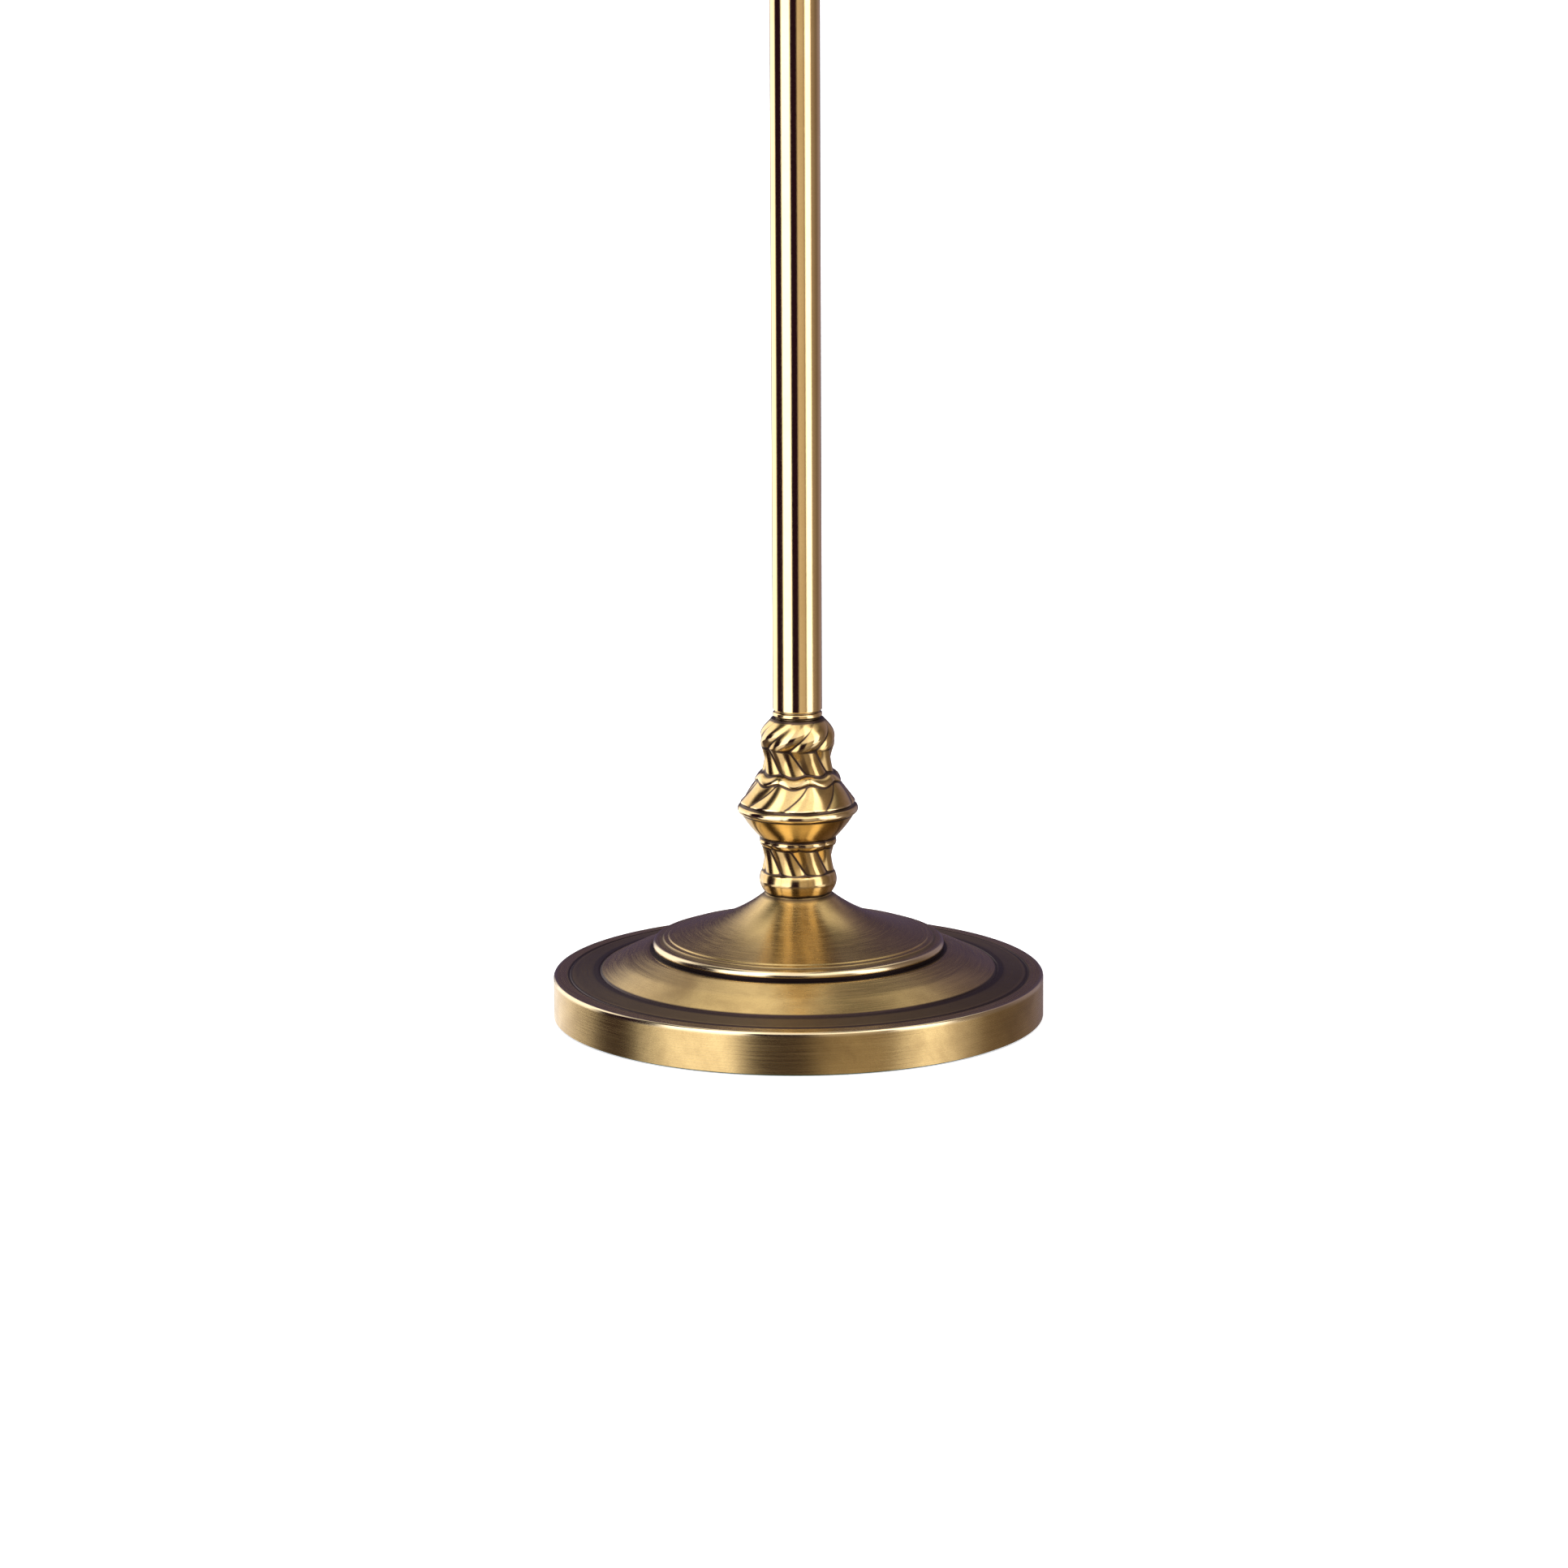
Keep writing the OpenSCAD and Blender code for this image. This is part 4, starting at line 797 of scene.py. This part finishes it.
dressed(skin("swivel_head_foot", foot_skin, loop=True, hollow=sunk(foot_skin, 1.1 * MM, 2)),
        collar_brass, "head", "antique_brass", "swivel_head")


def slab(outline, thickness, rounding, steps=5):
    """A flat plate from a convex outline in x and z: the outline is stacked through y, drawn in at
    both faces by a quarter circle, and each face closes on the outline's middle, past one more ring
    that keeps the face's shading flat."""
    middle = outline.mean(axis=0)
    spread_out = outline - middle
    length = np.linalg.norm(spread_out, axis=1, keepdims=True)
    bend = np.linspace(0, np.pi / 2, steps)
    drawn_in = rounding * (1 - np.sin(bend))
    level = rounding * (1 - np.cos(bend))
    inner = rounding + 0.6 * MM
    drawn_in = np.concatenate([[inner], drawn_in, drawn_in[::-1], [inner]])
    level = np.concatenate([[0], level, thickness - level[::-1], [thickness]])
    rings = middle + spread_out * (1 - drawn_in[:, None, None] / length)
    y = np.broadcast_to(level[:, None, None], rings.shape[:2] + (1,))
    body = np.concatenate([rings[:, :, :1], y, rings[:, :, 1:]], axis=2)
    caps = [np.broadcast_to((middle[0], place, middle[1]), body[:1].shape) for place in (0, thickness)]
    return np.concatenate([caps[0], body, caps[1]])


ear_outline = dense(np.concatenate([
    [(EYE_R, tilt_z), (EYE_R, shoulder - 7 * MM), (-EYE_R, shoulder - 7 * MM), (-EYE_R, tilt_z)],
    arc((0, tilt_z), EYE_R, 180, 0, 48)]), 0.8 * MM)[:-1]
fork_brass = brass("fork_brass", ANTIQUE, ANTIQUE_BROWN, 0.2, "Y", (0, 0, tilt_z), brushing=0.7)
for side_name, start in (("front", -EAR_OUT), ("back", EAR_OUT - EAR_T)):
    ear = slab(ear_outline, EAR_T, 0.8 * MM) + (0, start, 0)
    dressed(skin("fork_ear_" + side_name, ear), fork_brass, "head", "antique_brass")

FACING_KNOB = np.array([(1, 0, 0), (0, 0, -1), (0, 1, 0)])
BOLT_R = 3 * MM
tilt_skin = knurled(tilt_high.x, tilt_high.y - tilt_low.y, BOLT_R)
tilt_dark = sunk(tilt_skin, 0.8 * MM, 3)
dressed(skin("tilt_knob_knurled", tilt_skin @ FACING_KNOB + (0, tilt_low.y, tilt_z), hollow=tilt_dark),
        fork_brass, "tilt_nut", "antique_brass", "tilt_knob")
finish(steel, "tilt_bolt", "tilt_washers")


# Arm: a cast knuckle between the ears, a straight tube soldered over its spigot, and a flared end
# that the shade and the lampholder are screwed to.
FACING_SHADE = np.array([(0, 0, -1), (0, 1, 0), (1, 0, 0)])
arm_low, arm_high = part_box("arm_tube")
ARM_R = arm_high.y
ARM_WALL = 1 * MM
on_arm = np.array((0, 0, tilt_z))
knuckle_brass = brass("knuckle_brass", ANTIQUE, ANTIQUE_BROWN, 0.2, "X", on_arm, brushing=0.5)
finish(knuckle_brass, "arm_knuckle")
arm_brass = brass("arm_brass", POLISHED, POLISHED_BROWN, 0.09, "X", on_arm, 0.3, drawn=True, patina=0.3)
arm_skin = piped(arm_low.x, arm_high.x, ARM_R, ARM_WALL, 120, 30) @ FACING_SHADE + on_arm
dressed(skin("arm_tube_drawn", arm_skin, loop=True), arm_brass, "arm", "polished_brass", "arm_tube")
END_L = 14 * MM
NIPPLE_HOLE = 5.1 * MM
end_line = np.concatenate([
    [(3.4 * MM, 0), (ARM_R + 0.3 * MM, 0)], arc((ARM_R + 0.3 * MM, 1.8 * MM), 1.8 * MM, -60, 60),
    eased([(ARM_R + 0.2 * MM, 3.7 * MM), (ARM_R - 0.1 * MM, 4.6 * MM), (ARM_R + 0.3 * MM, 6 * MM),
           (ARM_R + 2.4 * MM, 9.5 * MM), (ARM_R + 4.4 * MM, 11.5 * MM), (ARM_R + 4.4 * MM, END_L - 0.5 * MM),
           (ARM_R + 3.9 * MM, END_L), (NIPPLE_HOLE, END_L)], 0.5 * MM), [(NIPPLE_HOLE, 1 * MM)]])
end_skin = turned(dense(end_line, 0.5 * MM), 144)
dressed(skin("arm_end_turned", end_skin @ FACING_SHADE + on_arm + (arm_high.x, 0, 0), loop=True,
             hollow=sunk(end_skin, 1.0 * MM, 2)), knuckle_brass, "arm", "antique_brass", "arm_end")
fibre = plain("red_fibre", (0.10, 0.035, 0.025), (0.13, 0.05, 0.035), 0.55, 0.0, 900.0, 0.00005)
finish(fibre, "shade_washers")
finish(steel, "shade_nipple", "shade_nut")


# Lampholder and bulb: a domed brass cap and a beaded shell round a fibre liner, a porcelain-black
# core and a rolled screw thread, with a frosted bulb screwed into it.
cap_low, cap_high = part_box("socket_cap")
shell_low, shell_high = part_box("socket_shell")
SOCKET_R = 19 * MM
cap_l = cap_high.x - cap_low.x
cap_line = np.concatenate([
    eased([(NIPPLE_HOLE, 0), (8.5 * MM, 0), (9 * MM, 0.6 * MM), (9 * MM, 4.6 * MM)], 0.4 * MM),
    arc((SOCKET_R - 8 * MM, cap_l - 3 * MM), 9 * MM, -85, 0, 24),
    [(SOCKET_R + 1 * MM, cap_l), (SOCKET_R + 0.2 * MM, cap_l)],
    arc((SOCKET_R - 8 * MM, cap_l - 3 * MM), 8.2 * MM, 0, -75, 16),
    [(8 * MM, 6.4 * MM), (NIPPLE_HOLE, 6.4 * MM)]])
cap_skin = turned(dense(cap_line, 0.8 * MM), 160)
dressed(skin("socket_cap_pressed", cap_skin @ FACING_SHADE + on_arm + (cap_low.x, 0, 0), loop=True,
             hollow=sunk(cap_skin, 1.2 * MM, 2)), knuckle_brass, "arm", "antique_brass", "socket_cap")
shell_l = shell_high.x - shell_low.x
shell_line = np.concatenate([
    eased([(SOCKET_R - 0.6 * MM, 0), (SOCKET_R, 0), (SOCKET_R, 6 * MM)], 0.2 * MM),
    np.stack([SOCKET_R - 0.35 * MM * np.sin(np.linspace(0, 6 * np.pi, 48)) ** 2,
              np.linspace(20 * MM, 29 * MM, 48)], axis=1),
    [(SOCKET_R, shell_l - 5 * MM)], arc((SOCKET_R - 0.4 * MM, shell_l - 3.3 * MM), 1.2 * MM, -70, 70),
    [(SOCKET_R, shell_l - 1.5 * MM), (SOCKET_R, shell_l), (SOCKET_R - 0.6 * MM, shell_l)]])
shell_skin = turned(dense(shell_line, 1.2 * MM), 160)
shell_piece = skin("socket_shell_pressed", shell_skin @ FACING_SHADE + on_arm + (shell_low.x, 0, 0),
                   loop=True, hollow=sunk(shell_skin, 1.2 * MM, 2))
key_low, key_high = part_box("switch_shaft")
switch_x = (key_low.x + key_high.x) / 2
KEY_HOLE = 3.2 * MM
pierced(shell_piece, (switch_x, 0, tilt_z - 25 * MM), (switch_x, 0, tilt_z - 12 * MM), KEY_HOLE)
dressed(shell_piece, knuckle_brass, "arm", "antique_brass", "socket_shell")
card = plain("liner_card", (0.16, 0.12, 0.085), (0.12, 0.09, 0.06), 0.8, 0.0, 700.0, 0.0001)
nickel = plain("nickel", (0.66, 0.64, 0.60), (0.55, 0.53, 0.50), 0.22, 1.0, 600.0, 0.00003)
finish(card, "socket_liner")
finish(black, "socket_core")
finish(nickel, "socket_thread", "socket_contact")

glass_low, glass_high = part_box("bulb_glass")
screw_low, screw_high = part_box("bulb_cap")
BULB_R = 22 * MM
CAP_R = 13.1 * MM
GLASS_T = 1 * MM
bulb_l = glass_high.x - glass_low.x
swell = np.linspace(0, 1, 30)
neck_in = CAP_R - 0.6 * MM
flank = np.stack([neck_in + (BULB_R - neck_in) * (1 - np.cos(np.pi * swell)) / 2,
                  4 * MM + (bulb_l - BULB_R - 14 * MM) * swell], axis=1)
glass_line = np.concatenate([
    [(neck_in, 0)], flank, arc((0, bulb_l - BULB_R), BULB_R, 8, 90, 30),
    arc((0, bulb_l - BULB_R), BULB_R - GLASS_T, 90, 8, 30), flank[::-1] - (GLASS_T, 0),
    [(neck_in - GLASS_T, 0)]])
glass_skin = turned(glass_line, 128)
frosted = plain("frosted_glass", (0.90, 0.885, 0.85), (0.86, 0.845, 0.80), 0.42, 0.0, 1400.0, 0.00002)
frosted.node_tree.nodes["Principled BSDF"].inputs["Transmission Weight"].default_value = 0.35
dressed(skin("bulb_glass_blown", glass_skin @ FACING_SHADE + on_arm + (glass_low.x, 0, 0), loop=True),
        frosted, "arm", "frosted_glass", "bulb_glass")

THREAD_PITCH = 3.63 * MM
THREAD_DEPTH = 0.45 * MM
THREAD_SIDES = 120
thread_l = screw_high.x - screw_low.x
thread_line = dense(np.array([
    (0, 0), (4 * MM, 0), (6 * MM, 2 * MM), (CAP_R - 1.4 * MM, 5.2 * MM), (CAP_R, 7.2 * MM), (CAP_R, thread_l),
    (CAP_R - 0.8 * MM, thread_l), (CAP_R - 0.8 * MM, 8 * MM), (0, 4 * MM)]), 0.4 * MM)
thread_skin = turned(thread_line, THREAD_SIDES)
wave = np.cos(2 * np.pi * thread_skin[:, :, 2] / THREAD_PITCH - full_circle(THREAD_SIDES)) * 0.5 - 0.5
thread_r, thread_at = thread_line.T
on_wall = (thread_r > CAP_R - 1e-6) & (thread_at > 8 * MM) & (thread_at < thread_l - 2 * MM)
thread_skin[:, :, :2] *= (1 + on_wall[:, None] * wave * THREAD_DEPTH / CAP_R)[:, :, None]
dressed(skin("bulb_cap_threaded", thread_skin @ FACING_SHADE + on_arm + (screw_low.x, 0, 0)), nickel, "arm",
        "nickel", "bulb_cap")


# Switch: a brass shaft hangs from the lampholder and ends in a moulded key, a round hub with a flat
# paddle across it, that turns round and round.
hub_low, hub_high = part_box("switch_key")
PADDLE_R = 7 * MM
PADDLE_T = 2.8 * MM
KEY_BORE = 2.03 * MM
finish(ring_brass, "switch_shaft")
FACING_DOWN = np.array([(1, 0, 0), (0, -1, 0), (0, 0, -1)])
hub_line = eased([(KEY_BORE, 5 * MM), (KEY_BORE, 0), (3.6 * MM, 0), (4 * MM, 0.6 * MM), (4 * MM, 6 * MM),
                  (3 * MM, 8 * MM), (0, 8 * MM)], 0.6 * MM)
hub_skin = turned(dense(hub_line, 0.4 * MM), 80) @ FACING_DOWN + (switch_x, 0, hub_high.z)
dressed(skin("switch_key_hub", hub_skin), black, "switch", "black_plastic", "switch_key")
paddle_outline = arc((switch_x, hub_low.z + PADDLE_R), PADDLE_R, 180, -172.5, 48)
paddle = slab(paddle_outline, PADDLE_T, 0.9 * MM) + (0, -PADDLE_T / 2, 0)
dressed(skin("switch_key_paddle", paddle), black, "switch", "black_plastic")


# Shade: a half-round trough rolled from brass sheet with vents in its crown, end plates riveted in,
# and a wire bead soldered round its lower edge.
shade_low, shade_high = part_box("shade_shell")
SHADE_R = shade_high.y
SHADE_T = 1 * MM
drop = tilt_z - shade_low.z


def trough(radius, count=120):
    """The shade's section: straight up from the lower edge, half a circle over, and straight down."""
    angle = np.linspace(0, np.pi, count)
    round_part = np.stack([radius * np.cos(angle), radius * np.sin(angle)], axis=1)
    height = np.linspace(-drop, 0, 8)[:-1]
    right = np.stack([np.full_like(height, radius), height], axis=1)
    return np.concatenate([right, round_part, (right * (-1, 1))[::-1]])


outer_wall, inner_wall = trough(SHADE_R), trough(SHADE_R - SHADE_T)[::-1]
section = np.concatenate([outer_wall, inner_wall])
middle = (section + section[::-1]) / 2
stations = np.linspace(shade_low.x, shade_high.x, 60)
rows = np.concatenate([[middle], np.broadcast_to(section, (len(stations),) + section.shape), [middle]])
row_x = np.concatenate([stations[:1], stations, stations[-1:]])
shade_x = np.broadcast_to(row_x[:, None, None], rows.shape[:2] + (1,))
shade_skin = np.concatenate([shade_x, rows + (0, tilt_z)], axis=2)
shade_piece = skin("shade_shell_rolled", shade_skin)
VENT_R = 3.5 * MM
VENT_PLACES = (0.4, 0.5, 0.6)
for place in VENT_PLACES:
    vent_x = shade_low.x + (shade_high.x - shade_low.x) * place
    crown_z = tilt_z + SHADE_R
    pierced(shade_piece, (vent_x, 0, crown_z - 6 * MM), (vent_x, 0, crown_z + 3 * MM), VENT_R)
shade_brass = brass("shade_brass", ANTIQUE, ANTIQUE_BROWN, 0.24, "X", on_arm, 0.8, drawn=True, patina=0.8)
dressed(shade_piece, shade_brass, "shade", "antique_brass", "shade_shell")
plate_brass = brass("plate_brass", ANTIQUE, ANTIQUE_BROWN, 0.26, "X", on_arm, 0.8, patina=0.8)
finish(plate_brass, "shade_ends")
finish(ring_brass, "shade_rivets")

BEAD_R = 1.6 * MM
bead_low, bead_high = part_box("shade_bead")
bead_z = (bead_low.z + bead_high.z) / 2
corner = 2.5 * MM
left, near = bead_low.x + BEAD_R + corner, bead_low.y + BEAD_R + corner
right, far = bead_high.x - BEAD_R - corner, bead_high.y - BEAD_R - corner
loop_path = np.concatenate([
    arc((right, far), corner, 0, 90), arc((left, far), corner, 90, 180),
    arc((left, near), corner, 180, 270), arc((right, near), corner, 270, 360)])
way_on = np.roll(loop_path, -1, axis=0) - np.roll(loop_path, 1, axis=0)
way_on /= np.linalg.norm(way_on, axis=1, keepdims=True)
outward = np.stack([way_on[:, 1], -way_on[:, 0], 0 * way_on[:, 0]], axis=1)
wire_angle = full_circle(24)
bead_path = np.column_stack([loop_path, np.full(len(loop_path), bead_z)])
bead_skin = bead_path[:, None] + BEAD_R * (np.cos(wire_angle)[None, :, None] * outward[:, None]
                                           + np.sin(wire_angle)[None, :, None] * np.array((0, 0, 1.0)))
dressed(skin("shade_bead_wire", bead_skin, loop=True), ring_brass, "shade", "polished_brass", "shade_bead")
